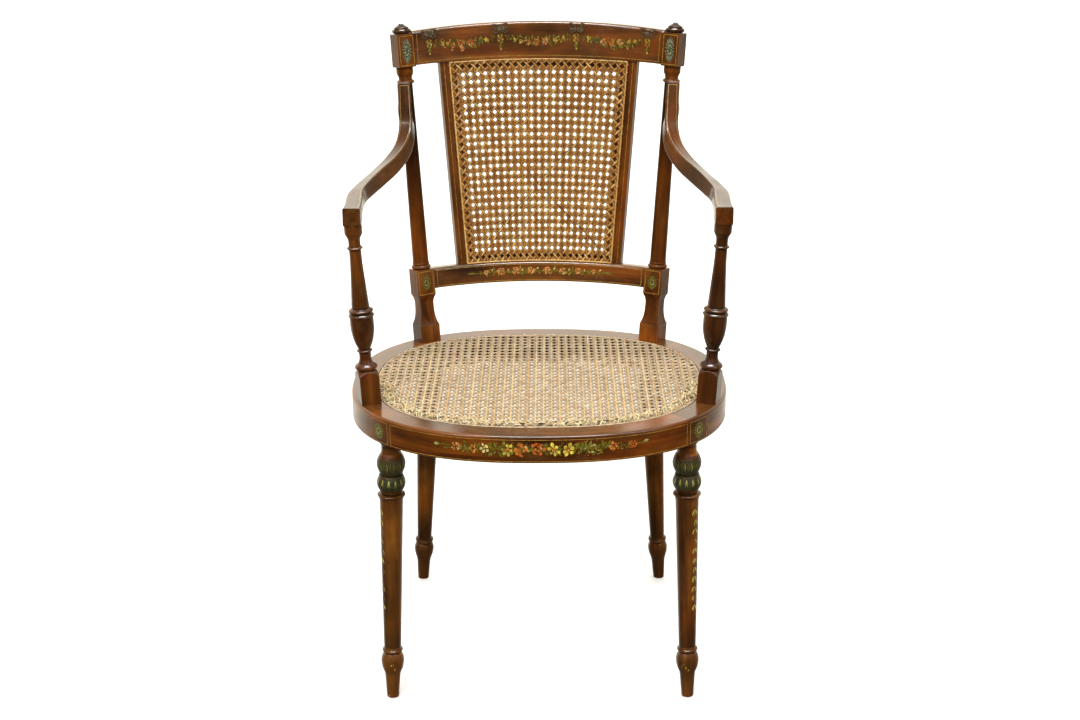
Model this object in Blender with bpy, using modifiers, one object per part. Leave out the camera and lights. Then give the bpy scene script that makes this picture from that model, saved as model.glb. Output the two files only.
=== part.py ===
"""Painted armchair with a caned oval seat and a bowed, caned back.

Metres, +Z up, front of the chair towards -Y. The origin lies on the floor under the middle of the
chair's box. Left and right are those of someone who looks at the front of the chair.
"""
import math

import bmesh
import bpy
from mathutils import Matrix, Vector

# Fits
GAP = 0.0003                     # clearance between pieces that touch

# Seat ring: a rounded oval of curved rails
SEAT_HEIGHT = 0.430              # floor to the top of the ring
SEAT_HALF_WIDTH = 0.268
SEAT_HALF_DEPTH = 0.2412
SEAT_SQUARENESS = 2.4            # exponent of the oval, 2 is an ellipse
SEAT_CENTRE_Y = -0.0205
RAIL_WIDTH = 0.050
RAIL_HEIGHT = 0.038
RAIL_EDGE_ROUND = 0.004
RIM_WIDTH = 0.034                # bare wood from the outer edge to the cane
CANE_STEP = 0.0025               # depth of the step that the cane lies in
FRONT_BLOCK_START = 33.0         # degrees round the oval, from the side towards the front
FRONT_BLOCK_END = 44.0
REAR_JOINT_ANGLE = 41.0          # degrees from the side towards the back
TONGUE_DEPTH = 0.009             # reach of a loose tongue into each piece
TONGUE_WIDTH = 0.026
TONGUE_THICKNESS = 0.010

# Seat cane
CANE_THICKNESS = 0.0022
CANE_EDGE_CLEARANCE = 0.0009     # round the seat's cane
SEAT_CANE_PITCH = 0.0365
SEAT_CANE_BAR = 0.009
BINDER_WIDTH = 0.006
BINDER_THICKNESS = 0.0014

# Front legs
FRONT_LEG_INSET = 0.020          # leg axis from the outer edge of the ring
FRONT_LEG_SPLAY = 0.0083         # sideways run of the axis down to the floor
FRONT_LEG_ADVANCE = 0.004        # forward run of the axis down to the floor
FRONT_NECK_RADIUS = 0.0135
FRONT_NECK_LENGTH = 0.017        # from the ring down to the first bulb
BULB_RADIUS = 0.0198
BULB_HEIGHT = 0.032
BULB_WAIST_RADIUS = 0.0150
LOWER_BULB_SHELF = 0.0165        # radius of the step on top of the second bulb
LOWER_BULB_STEP = 0.001
LOWER_BULB_HEIGHT = 0.026
COLLAR_DROP = 0.004              # from the second bulb down to the collar
COLLAR_RADIUS = 0.0196
COLLAR_BAND = 0.005
COLLAR_HEIGHT = 0.010
FRONT_SHAFT_RADIUS = 0.0162
FRONT_ANKLE_RADIUS = 0.0121
FRONT_ANKLE_RING = 0.0146
FRONT_ANKLE_BULB = 0.0162
FRONT_ANKLE_WAIST = 0.0107
FRONT_TOE_RADIUS = 0.0084

# Rear legs
REAR_LEG_INSET = 0.0165
REAR_LEG_SPLAY = 0.0224
REAR_LEG_RAKE = 0.065            # backward run of the axis down to the floor
REAR_LEG_RADIUS = 0.0180
REAR_ANKLE_RADIUS = 0.0114
REAR_ANKLE_RING = 0.0145
REAR_ANKLE_BULB = 0.0149
REAR_ANKLE_WAIST = 0.0110
REAR_TOE_RADIUS = 0.0086

# Ankles and tenons of all legs
ANKLE_HEIGHT = 0.080             # floor to the foot of the shaft
ANKLE_RING_FLARE = 0.004         # from the shaft down to the ring
ANKLE_RING_BAND = 0.003
ANKLE_HOLLOW = 0.004             # from the ring down to the bulb
ANKLE_BULB_FOOT = 0.036          # floor to the foot of the bulb
LEG_TENON_RADIUS = 0.0075
LEG_TENON_LENGTH = 0.016

# Rear posts, heights along the post from the seat
POST_ANGLE = 51.5                # degrees round the oval, from the side towards the back
POST_INSET = 0.0130
POST_TURN = 29.0                 # degrees that the blocks face in towards the middle
POST_LEAN = 0.062                # sideways run for each metre of height
BACK_RAKE = 4.0                  # degrees that the back leans backwards
POST_FOOT_SIDE = 0.033
POST_FOOT_TOP = 0.0256
POST_WAIST_SIDE = 0.0252
LOWER_BLOCK_SIDE = 0.0282
LOWER_BLOCK_BOTTOM = 0.0705
LOWER_BLOCK_TOP = 0.1110
COLUMN_FOOT_RADIUS = 0.0122
COLUMN_HEAD_RADIUS = 0.0100
COLUMN_COLLAR_RADIUS = 0.0142
COLUMN_COLLAR_HEIGHT = 0.0110
NECK_RADIUS = 0.0127
NECK_LENGTH = 0.0185             # crest block down to the ring
NECK_BAND = 0.0074               # straight part of the neck
NECK_FILLET = 0.003
NECK_RING_RADIUS = 0.0122
NECK_RING_HEIGHT = 0.0062
CREST_BLOCK_SIDE = 0.0272
CREST_BLOCK_BOTTOM = 0.4168
CREST_BLOCK_TOP = 0.4655
POST_TENON_SIDE = 0.016
POST_TENON_LENGTH = 0.016
FINIAL_HEIGHT = 0.0170
FINIAL_RADIUS = 0.0122
FINIAL_EDGE = 0.0065             # height of the widest line
FINIAL_BASE_RADIUS = 0.0098
SPIGOT_RADIUS = 0.004
SPIGOT_LENGTH = 0.010

# Bowed back, heights above the seat along the rake
BACK_RAIL_THICKNESS = 0.020
BACK_RAIL_EASE = 0.003           # cut of the upper edges
CREST_BOTTOM = 0.4175
CREST_HEIGHT = 0.0492            # at the ends
CREST_BOTTOM_RISE = 0.0076       # extra height in the middle
CREST_TOP_RISE = 0.0130
LOWER_RAIL_BOTTOM = 0.0797
LOWER_RAIL_HEIGHT = 0.0311
LOWER_RAIL_RISE = 0.0033
RAIL_TENON_LENGTH = 0.0088
RAIL_TENON_THICKNESS = 0.008
RAIL_TENON_EASE = 0.001
RAIL_TENON_SHARE = 0.6           # height of a tenon as a share of its rail
STILE_WIDTH = 0.0245
STILE_THICKNESS = 0.0135
STILE_FRONT = 0.006              # face of the stiles, forward of the middle of the rails
STILE_FOOT_INSET = 0.0660        # post's axis in to the stile's, at the lower rail
STILE_HEAD_INSET = 0.0619        # the same at the crest rail
STILE_TENON_LENGTH = 0.010
STILE_TENON_WIDTH = 0.012
STILE_TENON_THICKNESS = 0.007
SLAT_HEIGHT = 0.0125
SLAT_THICKNESS = 0.011
SLAT_TENON_LENGTH = 0.007
SLAT_TENON_THICKNESS = 0.005
CANE_LAP = 0.0120                # cane laid over the inner edge of its frame
BACK_CANE_COLUMNS = 10
BACK_CANE_ROWS = 12
BACK_CANE_BAR = 0.0060

# Arms
ARM_HEAD = 0.3905                # height along the post of the arm's upper end
ARM_HEAD_WIDTH = 0.0195
ARM_END_WIDTH = 0.0240
ARM_THICKNESS = 0.0170
ARM_END_THICKNESS = 0.0245       # of the square end over the support
ARM_END_LENGTH = 0.0250
ARM_END_SLOPE = 0.0060           # run of the slope under the arm, behind the square end
ARM_EDGE_EASE = 0.0030
ARM_BED = 0.003                  # depth of the arm's hollow that fits the column
ARM_OVERHANG = 0.0125            # arm beyond the axis of its support
ARM_DOWEL_RADIUS = 0.003
ARM_DOWEL_LENGTH = 0.022
ARM_DOWEL_DROP = 0.013           # dowel below the arm's upper end
ARM_DOWEL_BACK = 0.0033          # dowel behind the axis of the column
# Shares of the way from the post to the front end: forward, down, outward
ARM_SWEEP = (
    (0.010, 0.256, -0.010),
    (0.040, 0.505, -0.030),
    (0.105, 0.697, 0.052),
    (0.224, 0.826, 0.291),
    (0.379, 0.910, 0.613),
    (0.543, 0.964, 0.893),
    (0.690, 0.988, 1.030),
)

# Arm supports, heights along the support from the seat
SUPPORT_ANGLE = 22.5             # degrees round the oval, from the side towards the front
SUPPORT_INSET = 0.0165
SUPPORT_TURN = 20.0
SUPPORT_LEAN = 0.057
SUPPORT_BLOCK_SIDE = 0.028
SUPPORT_BLOCK_HEIGHT = 0.0475
SUPPORT_TOP = 0.2520             # underside of the arm
SUPPORT_TORUS_RADIUS = 0.0158
SUPPORT_TORUS_HEIGHT = 0.0145
SUPPORT_TORUS_BASE = 0.0130
SUPPORT_NECK_RADIUS = 0.0083
SUPPORT_BEAD_RADIUS = 0.0109
SUPPORT_BEAD_HEIGHT = 0.0045
LOWER_BEAD_RISE = 0.0285         # block up to the bead under the urn
UPPER_BEAD_DROP = 0.033          # arm down to the bead under the cap
URN_FOOT_RADIUS = 0.0093
URN_FOOT_RISE = 0.0335           # block up to the foot of the urn
URN_RADIUS = 0.0164
DOUBLE_RING_RISE = 0.0835        # block up to the line between the two rings
DOUBLE_RING_RADIUS = 0.0178
DOUBLE_RING_HOLLOW = 0.0148
SINGLE_RING_HEIGHT = 0.0065
SUPPORT_SHAFT_RADIUS = 0.0123
SUPPORT_CAP_RADIUS = 0.0112
SUPPORT_CAP_HEIGHT = 0.008
SUPPORT_CAP_SCOOP = 0.0065       # from the cap down to the neck
SUPPORT_TENON_RADIUS = 0.006
SUPPORT_TENON_LENGTH = 0.018
SUPPORT_HEAD_TENON_RADIUS = 0.005
SUPPORT_HEAD_TENON_LENGTH = 0.012

# Fineness of the model
TURNED_STEPS = 16
BULGE_STEPS = 6                  # sections of a bulb
BEAD_STEPS = 4                   # sections of a ring or bead
WAIST_STEPS = 6                  # sections of the hollow above a post's foot
SEAT_SECTION_ANGLE = 6.0         # degrees between the sections of a seat rail
SEAT_STATIONS = 64               # points round the cane of the seat
BACK_RAIL_STEPS = 18
SLAT_STEPS = 12
BINDER_STEPS = 10                # along each side of the back's binder
ARM_SPAN_STEPS = 3               # between two points of an arm's sweep
SMOOTH_ANGLE = 40.0
MERGE = 0.00001

COLLECTION_NAME = "painted_armchair"
WOOD_COLOUR = (0.115, 0.040, 0.016)
WOOD_ROUGHNESS = 0.34
STRAW_COLOUR = (0.62, 0.40, 0.17)
STRAW_ROUGHNESS = 0.55
SIDES = (("left", -1), ("right", 1))
LAP = 0.004                      # overlap of shapes that are joined into one piece
UNDER_SEAT = SEAT_HEIGHT - RAIL_HEIGHT


# Scene and objects

def clear_scene():
    for old in list(bpy.data.objects):
        bpy.data.objects.remove(old, do_unlink=True)
    for old in list(bpy.data.collections):
        bpy.data.collections.remove(old)


def add_collection(name):
    made = bpy.data.collections.new(name)
    bpy.context.scene.collection.children.link(made)
    return made


def finish(name, colour, roughness):
    made = bpy.data.materials.new(name + "_finish")
    made.use_nodes = True
    shader = made.node_tree.nodes["Principled BSDF"]
    shader.inputs["Base Color"].default_value = (*colour, 1.0)
    shader.inputs["Roughness"].default_value = roughness
    shader.inputs["Metallic"].default_value = 0.0
    return made


def add_object(name, mesh, matrix=None, parent=None):
    made = bpy.data.objects.new(name, mesh)
    PARTS.objects.link(made)
    if parent:
        made.parent = parent
    if matrix:
        made.matrix_local = matrix
    return made


def paint(piece, colour, roughness):
    piece.data.materials.clear()
    piece.data.materials.append(finish(piece.name, colour, roughness))
    return piece


def wood(piece):
    return paint(piece, WOOD_COLOUR, WOOD_ROUGHNESS)


def straw(piece):
    return paint(piece, STRAW_COLOUR, STRAW_ROUGHNESS)


def as_tool(piece):
    """Puts a shape that only cuts or joins into the cutters' collection."""
    PARTS.objects.unlink(piece)
    CUTTERS.objects.link(piece)
    piece.hide_render = True
    piece.display_type = "WIRE"
    return piece


def combine(piece, tool, operation):
    step = piece.modifiers.new(operation.lower(), "BOOLEAN")
    step.operation = operation
    step.solver = "EXACT"
    step.object = tool


def cut(piece, tool):
    combine(piece, tool, "DIFFERENCE")


def join(piece, tool):
    combine(piece, tool, "UNION")


# Shapes

def mesh_from(bm, name):
    bmesh.ops.recalc_face_normals(bm, faces=bm.faces)
    mesh = bpy.data.meshes.new(name)
    bm.to_mesh(mesh)
    bm.free()
    mesh.shade_smooth()
    mesh.set_sharp_from_angle(angle=math.radians(SMOOTH_ANGLE))
    return mesh


def loft(name, loops, parent=None, ring=False):
    """Skin over equal loops of points, capped at its ends or closed into a ring."""
    bm = bmesh.new()
    rows = [[bm.verts.new(point) for point in loop] for loop in loops]
    pairs = list(zip(rows, rows[1:]))
    if ring:
        pairs.append((rows[-1], rows[0]))
    for first, second in pairs:
        for k in range(len(first)):
            after = (k + 1) % len(first)
            bm.faces.new((first[k], first[after], second[after], second[k]))
    if not ring:
        bm.faces.new(rows[0])
        bm.faces.new(rows[-1])
    bmesh.ops.recalc_face_normals(bm, faces=bm.faces)
    bmesh.ops.triangulate(bm, faces=bm.faces)
    return add_object(name, mesh_from(bm, name), parent=parent)


def box(name, size, matrix, parent=None):
    bm = bmesh.new()
    bmesh.ops.create_cube(bm, size=1.0, matrix=Matrix.Diagonal((*size, 1.0)))
    return add_object(name, mesh_from(bm, name), matrix, parent)


def rod(name, radius, length, matrix, parent=None):
    """Round rod that starts at the matrix's origin and runs along its Z axis."""
    bm = bmesh.new()
    bmesh.ops.create_cone(bm, cap_ends=True, segments=TURNED_STEPS, radius1=radius, radius2=radius,
                          depth=length, matrix=Matrix.Translation((0, 0, length / 2)))
    return add_object(name, mesh_from(bm, name), matrix, parent)


def turned(name, outline, matrix, parent=None):
    """Solid of revolution; the outline lists (height, radius) from the top down."""
    points = [(outline[0][0], 0.0), *outline, (outline[-1][0], 0.0)]
    mesh = bpy.data.meshes.new(name)
    corners = [(radius, 0.0, height) for height, radius in points]
    edges = [(k, k + 1) for k in range(len(corners) - 1)]
    mesh.from_pydata(corners, edges, [])
    made = add_object(name, mesh, matrix, parent)
    screw = made.modifiers.new("turn", "SCREW")
    screw.steps = TURNED_STEPS
    screw.render_steps = TURNED_STEPS
    screw.use_merge_vertices = True
    screw.merge_threshold = MERGE
    screw.use_smooth_shade = True
    return made


def swell(top, bottom, top_radius, peak_radius, bottom_radius, count):
    """Rounded bulge of a turned outline between two heights, from the top down."""
    points = []
    for k in range(count + 1):
        share = k / count
        base = top_radius + (bottom_radius - top_radius) * share
        middle = (top_radius + bottom_radius) / 2
        bulge = (peak_radius - middle) * math.sin(math.pi * share)
        points.append((top + (bottom - top) * share, base + bulge))
    return points


def frame_along(start, axis, across=Vector((1, 0, 0))):
    """Matrix at start with Z along axis and X as near as it can be to across."""
    up = Vector(axis).normalized()
    side = (across - up * across.dot(up)).normalized()
    depth = up.cross(side)
    matrix = Matrix((side, depth, up)).transposed().to_4x4()
    matrix.translation = start
    return matrix


# Seat ring

def oval(angle, inset, height):
    """Point of the seat's outline at an angle in degrees, moved in along its normal."""
    power = 2.0 / SEAT_SQUARENESS
    c = math.cos(math.radians(angle))
    s = math.sin(math.radians(angle))
    x = SEAT_HALF_WIDTH * math.copysign(abs(c) ** power, c)
    y = SEAT_HALF_DEPTH * math.copysign(abs(s) ** power, s)
    normal = oval_normal(angle)
    return Vector((x - normal.x * inset, SEAT_CENTRE_Y + y - normal.y * inset, height))


def oval_normal(angle):
    power = 2.0 - 2.0 / SEAT_SQUARENESS
    c = math.cos(math.radians(angle))
    s = math.sin(math.radians(angle))
    return Vector((math.copysign(abs(c) ** power, c) / SEAT_HALF_WIDTH,
                   math.copysign(abs(s) ** power, s) / SEAT_HALF_DEPTH, 0.0)).normalized()


def degrees_for(length, angle):
    """Angle that a short length takes up on the oval."""
    near = oval(angle - 0.5, RAIL_WIDTH / 2, 0)
    far = oval(angle + 0.5, RAIL_WIDTH / 2, 0)
    return length / (far - near).length


def rail_section(angle):
    top = SEAT_HEIGHT
    step = SEAT_HEIGHT - CANE_STEP
    corner = RAIL_EDGE_ROUND * (1 - math.sqrt(0.5))
    return [
        oval(angle, 0, UNDER_SEAT),
        oval(angle, 0, top - RAIL_EDGE_ROUND),
        oval(angle, corner, top - corner),
        oval(angle, RAIL_EDGE_ROUND, top),
        oval(angle, RIM_WIDTH, top),
        oval(angle, RIM_WIDTH, step),
        oval(angle, RAIL_WIDTH, step),
        oval(angle, RAIL_WIDTH, UNDER_SEAT),
    ]


def seat_rail(name, start, end):
    first = start + degrees_for(GAP, start)
    last = end - degrees_for(GAP, end)
    count = max(2, round((last - first) / SEAT_SECTION_ANGLE))
    loops = [rail_section(first + (last - first) * k / count) for k in range(count + 1)]
    return wood(loft(name, loops))


def on_side(side, angle):
    """Angle on the right half of the oval, or its mirror image on the left."""
    return angle if side > 0 else 180.0 - angle


def side_rail(name, side, start, end):
    span = sorted((on_side(side, start), on_side(side, end)))
    return seat_rail(name, *span)


def tongue(name, angle, first, second):
    """Loose tongue across the joint at an angle, let into both pieces."""
    centre = oval(angle, RAIL_WIDTH / 2, SEAT_HEIGHT - CANE_STEP - (RAIL_HEIGHT - CANE_STEP) / 2)
    matrix = frame_along(centre, (0, 0, 1), oval_normal(angle))
    size = Vector((TONGUE_WIDTH, 2 * TONGUE_DEPTH, TONGUE_THICKNESS))
    slot = as_tool(box(name + "_slot", size + Vector((2 * GAP, 2 * GAP, 2 * GAP)), matrix))
    cut(first, slot)
    cut(second, slot)
    wood(box(name, size, matrix))


def build_seat_ring():
    front = seat_rail("seat_rail_front", FRONT_BLOCK_END - 180.0, -FRONT_BLOCK_END)
    back = seat_rail("seat_rail_back", REAR_JOINT_ANGLE, 180.0 - REAR_JOINT_ANGLE)
    pieces = {"back": back}
    for word, side in SIDES:
        block = side_rail("front_block_" + word, side, -FRONT_BLOCK_END, -FRONT_BLOCK_START)
        rail = side_rail("seat_rail_" + word, side, -FRONT_BLOCK_START, REAR_JOINT_ANGLE)
        tongue("tongue_front_" + word, on_side(side, -FRONT_BLOCK_END), front, block)
        tongue("tongue_side_" + word, on_side(side, -FRONT_BLOCK_START), block, rail)
        tongue("tongue_rear_" + word, on_side(side, REAR_JOINT_ANGLE), rail, back)
        pieces["block_" + word] = block
        pieces[word] = rail
    return pieces


def seat_cane_holes():
    """Cutters for the gaps of the seat's net, where they fit inside the ring."""
    bm = bmesh.new()
    hole = SEAT_CANE_PITCH - SEAT_CANE_BAR
    across = int(SEAT_HALF_WIDTH / SEAT_CANE_PITCH)
    along = int(SEAT_HALF_DEPTH / SEAT_CANE_PITCH)
    limit_x = SEAT_HALF_WIDTH - RAIL_WIDTH
    limit_y = SEAT_HALF_DEPTH - RAIL_WIDTH
    shape = Matrix.Diagonal((hole, hole, 2 * (CANE_STEP + CANE_THICKNESS), 1.0))
    for i in range(-across, across + 1):
        for j in range(-along, along + 1):
            reach_x = (abs(i) * SEAT_CANE_PITCH + hole / 2) / limit_x
            reach_y = (abs(j) * SEAT_CANE_PITCH + hole / 2) / limit_y
            if reach_x ** SEAT_SQUARENESS + reach_y ** SEAT_SQUARENESS > 1.0:
                continue
            place = Vector((i * SEAT_CANE_PITCH, SEAT_CENTRE_Y + j * SEAT_CANE_PITCH, SEAT_HEIGHT))
            bmesh.ops.create_cube(bm, size=1.0, matrix=Matrix.Translation(place) @ shape)
    return as_tool(add_object("seat_cane_holes", mesh_from(bm, "seat_cane_holes")))


def build_seat_cane():
    stations = [360.0 * k / SEAT_STATIONS for k in range(SEAT_STATIONS)]
    low = SEAT_HEIGHT - CANE_STEP + GAP
    high = low + CANE_THICKNESS
    edge = RIM_WIDTH + CANE_EDGE_CLEARANCE
    loops = [[oval(angle, edge, height) for angle in stations] for height in (low, high)]
    cut(straw(loft("seat_cane", loops)), seat_cane_holes())
    base = high + GAP
    top = base + BINDER_THICKNESS
    inner = edge + BINDER_WIDTH
    binder = []
    for angle in stations:
        binder.append([oval(angle, edge, base), oval(angle, edge, top),
                       oval(angle, inner, top), oval(angle, inner, base)])
    straw(loft("seat_binder", binder, ring=True))


# Legs

def trim_slab(name, low, high):
    """Slab wider than the chair, which trims ends flat."""
    side = 4 * SEAT_HALF_WIDTH
    matrix = Matrix.Translation((0, 0, (low + high) / 2))
    return as_tool(box(name, (side, side, high - low), matrix))


def build_leg(name, head, foot, outline, carrier):
    """Turned leg from the ring to the floor, with a round tenon in the ring."""
    axis = head - foot
    matrix = frame_along(foot, axis)
    leg = wood(turned(name, outline, matrix))
    cut(leg, FLOOR_SLAB)
    cut(leg, UNDER_SEAT_SLAB)
    start = axis.length - LAP
    length = LAP + LEG_TENON_LENGTH
    at = matrix @ Matrix.Translation((0, 0, start))
    join(leg, as_tool(rod(name + "_tenon", LEG_TENON_RADIUS, length, at)))
    cut(carrier, as_tool(rod(name + "_mortise", LEG_TENON_RADIUS + GAP, length + 2 * GAP, at)))


def ankle(shaft_radius, ring_radius, bulb_radius, waist_radius, toe_radius):
    """Outline from the shaft's end down to the toe."""
    ring = ANKLE_HEIGHT - ANKLE_RING_FLARE
    bulb = ring - ANKLE_RING_BAND - ANKLE_HOLLOW
    return [
        (ANKLE_HEIGHT, shaft_radius),
        (ring, ring_radius),
        (ring - ANKLE_RING_BAND, ring_radius),
        (bulb + ANKLE_HOLLOW / 2, shaft_radius),
        *swell(bulb, ANKLE_BULB_FOOT, shaft_radius, bulb_radius, waist_radius, BULGE_STEPS),
        (-LAP, toe_radius),
    ]


def front_leg_outline(length):
    first = length - FRONT_NECK_LENGTH
    second = first - BULB_HEIGHT
    collar = second - LOWER_BULB_HEIGHT - COLLAR_DROP
    return [
        (length + LAP, FRONT_NECK_RADIUS),
        *swell(first, second, FRONT_NECK_RADIUS, BULB_RADIUS, BULB_WAIST_RADIUS, BULGE_STEPS),
        *swell(second - LOWER_BULB_STEP, second - LOWER_BULB_HEIGHT, LOWER_BULB_SHELF,
               BULB_RADIUS, BULB_WAIST_RADIUS, BULGE_STEPS),
        (collar, COLLAR_RADIUS),
        (collar - COLLAR_BAND, COLLAR_RADIUS),
        (collar - COLLAR_HEIGHT, FRONT_SHAFT_RADIUS),
        *ankle(FRONT_ANKLE_RADIUS, FRONT_ANKLE_RING, FRONT_ANKLE_BULB, FRONT_ANKLE_WAIST, FRONT_TOE_RADIUS),
    ]


def rear_leg_outline(length):
    return [
        (length + LAP, REAR_LEG_RADIUS),
        *ankle(REAR_ANKLE_RADIUS, REAR_ANKLE_RING, REAR_ANKLE_BULB, REAR_ANKLE_WAIST, REAR_TOE_RADIUS),
    ]


def build_legs(seat):
    front_angle = (FRONT_BLOCK_START + FRONT_BLOCK_END) / 2
    for word, side in SIDES:
        flip = Vector((side, 1, 1))
        head = oval(-front_angle, FRONT_LEG_INSET, UNDER_SEAT) * flip
        foot = head + Vector((side * FRONT_LEG_SPLAY, -FRONT_LEG_ADVANCE, -UNDER_SEAT))
        outline = front_leg_outline((head - foot).length)
        build_leg("front_leg_" + word, head, foot, outline, seat["block_" + word])
        head = oval(POST_ANGLE, REAR_LEG_INSET, UNDER_SEAT) * flip
        foot = head + Vector((side * REAR_LEG_SPLAY, REAR_LEG_RAKE, -UNDER_SEAT))
        outline = rear_leg_outline((head - foot).length)
        build_leg("rear_leg_" + word, head, foot, outline, seat["back"])


# Bowed back: turn is the angle round the bow, height runs up the rake, forward is towards the front

def post_x(height):
    return POST_BASE.x + POST_LEAN * height


def bow_radius(height):
    return post_x(height) / math.sin(math.radians(POST_TURN))


def back_point(turn, height, forward):
    radius = bow_radius(height)
    middle = radius * math.cos(math.radians(POST_TURN))
    reach = radius - forward
    return Vector((reach * math.sin(turn), reach * math.cos(turn) - middle, height))


def arch(turn):
    """1 in the middle of the back and 0 at the posts."""
    return 1.0 - (turn / math.radians(POST_TURN)) ** 2


def crest_bottom(turn):
    return CREST_BOTTOM + CREST_BOTTOM_RISE * arch(turn)


def crest_top(turn):
    return CREST_BOTTOM + CREST_HEIGHT + CREST_TOP_RISE * arch(turn)


def lower_bottom(turn):
    return LOWER_RAIL_BOTTOM + LOWER_RAIL_RISE * arch(turn)


def lower_top(turn):
    return lower_bottom(turn) + LOWER_RAIL_HEIGHT


def raised(edge, offset):
    """Line that runs at an offset above one of the lines above."""
    return lambda turn: edge(turn) + offset


def turn_for(x, height):
    return math.asin(x / bow_radius(height))


def rail_loop(turn, low, high, half, ease):
    """Section of a back rail, with its upper edges eased."""
    return [
        back_point(turn, low, half),
        back_point(turn, high - ease, half),
        back_point(turn, high, half - ease),
        back_point(turn, high, ease - half),
        back_point(turn, high - ease, -half),
        back_point(turn, low, -half),
    ]


def build_back_rail(name, bottom, top, block_side, posts):
    """Bowed rail with a tenon at each end, let into the inner faces of the posts' blocks."""
    whole = math.radians(POST_TURN)
    height = (bottom(whole) + top(whole)) / 2
    end = whole - (block_side / 2 + 2 * GAP) / bow_radius(height)
    reach = end + RAIL_TENON_LENGTH / bow_radius(height)
    half = BACK_RAIL_THICKNESS / 2
    spare = (top(end) - bottom(end)) * (1 - RAIL_TENON_SHARE) / 2

    def tenon(turn, grow):
        return rail_loop(turn, bottom(end) + spare - grow, top(end) - spare + grow,
                         RAIL_TENON_THICKNESS / 2 + grow, RAIL_TENON_EASE)

    body = []
    for k in range(BACK_RAIL_STEPS + 1):
        turn = -end + 2 * end * k / BACK_RAIL_STEPS
        body.append(rail_loop(turn, bottom(turn), top(turn), half, BACK_RAIL_EASE))
    loops = [tenon(-reach, 0), tenon(-end, 0), *body, tenon(end, 0), tenon(reach, 0)]
    rail = wood(loft(name, loops, BACK))
    clear = GAP / bow_radius(height)
    mouth = LAP / bow_radius(height)
    for word, side in SIDES:
        loops = [tenon(side * (end - mouth), GAP), tenon(side * (reach + clear), GAP)]
        cut(posts[word], as_tool(loft(name + "_mortise_" + word, loops, BACK)))
    return rail


def stile_turn(height, across):
    """Turn of a line on a stile, across its width from the middle towards the outside."""
    share = (height - lower_top(0)) / (CREST_BOTTOM - lower_top(0))
    inset = STILE_FOOT_INSET + (STILE_HEAD_INSET - STILE_FOOT_INSET) * share
    return turn_for(post_x(height) - inset + across, height)


def about_stile_turn():
    """Turn near both ends of a stile, good enough to read the rails' heights there."""
    return stile_turn((CREST_BOTTOM + lower_top(0)) / 2, 0)


def stile_loop(side, line, width, front, back):
    """Section of a stile along a line of the back."""
    half = width / 2
    corners = []
    for across, forward in ((half, front), (half, back), (-half, back), (-half, front)):
        height = line(stile_turn(line(about_stile_turn()), across))
        corners.append(back_point(side * stile_turn(height, across), height, forward))
    return corners


def build_stile(name, side, crest, lower):
    front = STILE_FRONT
    back = STILE_FRONT - STILE_THICKNESS
    middle = (front + back) / 2
    thin_front = middle + STILE_TENON_THICKNESS / 2
    thin_back = middle - STILE_TENON_THICKNESS / 2

    def tenon(edge, offset, grow):
        return stile_loop(side, raised(edge, offset), STILE_TENON_WIDTH + 2 * grow,
                          thin_front + grow, thin_back - grow)

    def full(edge, offset):
        return stile_loop(side, raised(edge, offset), STILE_WIDTH, front, back)

    reach = STILE_TENON_LENGTH
    loops = [tenon(lower_top, -reach, 0), tenon(lower_top, GAP, 0), full(lower_top, GAP),
             full(crest_bottom, -GAP), tenon(crest_bottom, -GAP, 0), tenon(crest_bottom, reach, 0)]
    stile = wood(loft(name, loops, BACK))
    head = [tenon(crest_bottom, -LAP, GAP), tenon(crest_bottom, reach + GAP, GAP)]
    cut(crest, as_tool(loft(name + "_head_slot", head, BACK)))
    foot = [tenon(lower_top, -reach - GAP, GAP), tenon(lower_top, LAP, GAP)]
    cut(lower, as_tool(loft(name + "_foot_slot", foot, BACK)))
    return stile


def build_slat(name, bottom, stiles):
    """Bowed slat between the stiles, under the border of the cane."""
    top = raised(bottom, SLAT_HEIGHT)
    front = STILE_FRONT
    back = STILE_FRONT - SLAT_THICKNESS
    middle = (front + back) / 2

    def section(share, inset, low, high, near, far):
        corners = []
        for edge, forward in ((low, near), (high, near), (high, far), (low, far)):
            height = edge(about_stile_turn())
            limit = stile_turn(height, -STILE_WIDTH / 2) - inset / bow_radius(height)
            turn = share * limit
            corners.append(back_point(turn, edge(turn), forward))
        return corners

    def tenon(share, inset, grow):
        half = SLAT_TENON_THICKNESS / 2 + grow
        spare = SLAT_HEIGHT * (1 - RAIL_TENON_SHARE) / 2 - grow
        return section(share, inset, raised(bottom, spare), raised(top, -spare), middle + half, middle - half)

    loops = [tenon(-1, -SLAT_TENON_LENGTH, 0), tenon(-1, GAP, 0)]
    for k in range(SLAT_STEPS + 1):
        loops.append(section(2 * k / SLAT_STEPS - 1, GAP, bottom, top, front, back))
    loops += [tenon(1, GAP, 0), tenon(1, -SLAT_TENON_LENGTH, 0)]
    wood(loft(name, loops, BACK))
    for word, side in SIDES:
        loops = [tenon(side, LAP, GAP), tenon(side, -SLAT_TENON_LENGTH - GAP, GAP)]
        cut(stiles[word], as_tool(loft(name + "_slot_" + word, loops, BACK)))


def cane_point(across, up, forward, margin=0.0):
    """Point of the back's cane; across runs from -1 to 1 and up from 0 to 1."""
    near = across * about_stile_turn()
    low = lower_top(near) + 2 * GAP + margin
    high = crest_bottom(near) - 2 * GAP - margin
    height = low + (high - low) * up
    limit = stile_turn(height, CANE_LAP - STILE_WIDTH / 2) - margin / bow_radius(height)
    return back_point(across * limit, height, forward)


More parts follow.
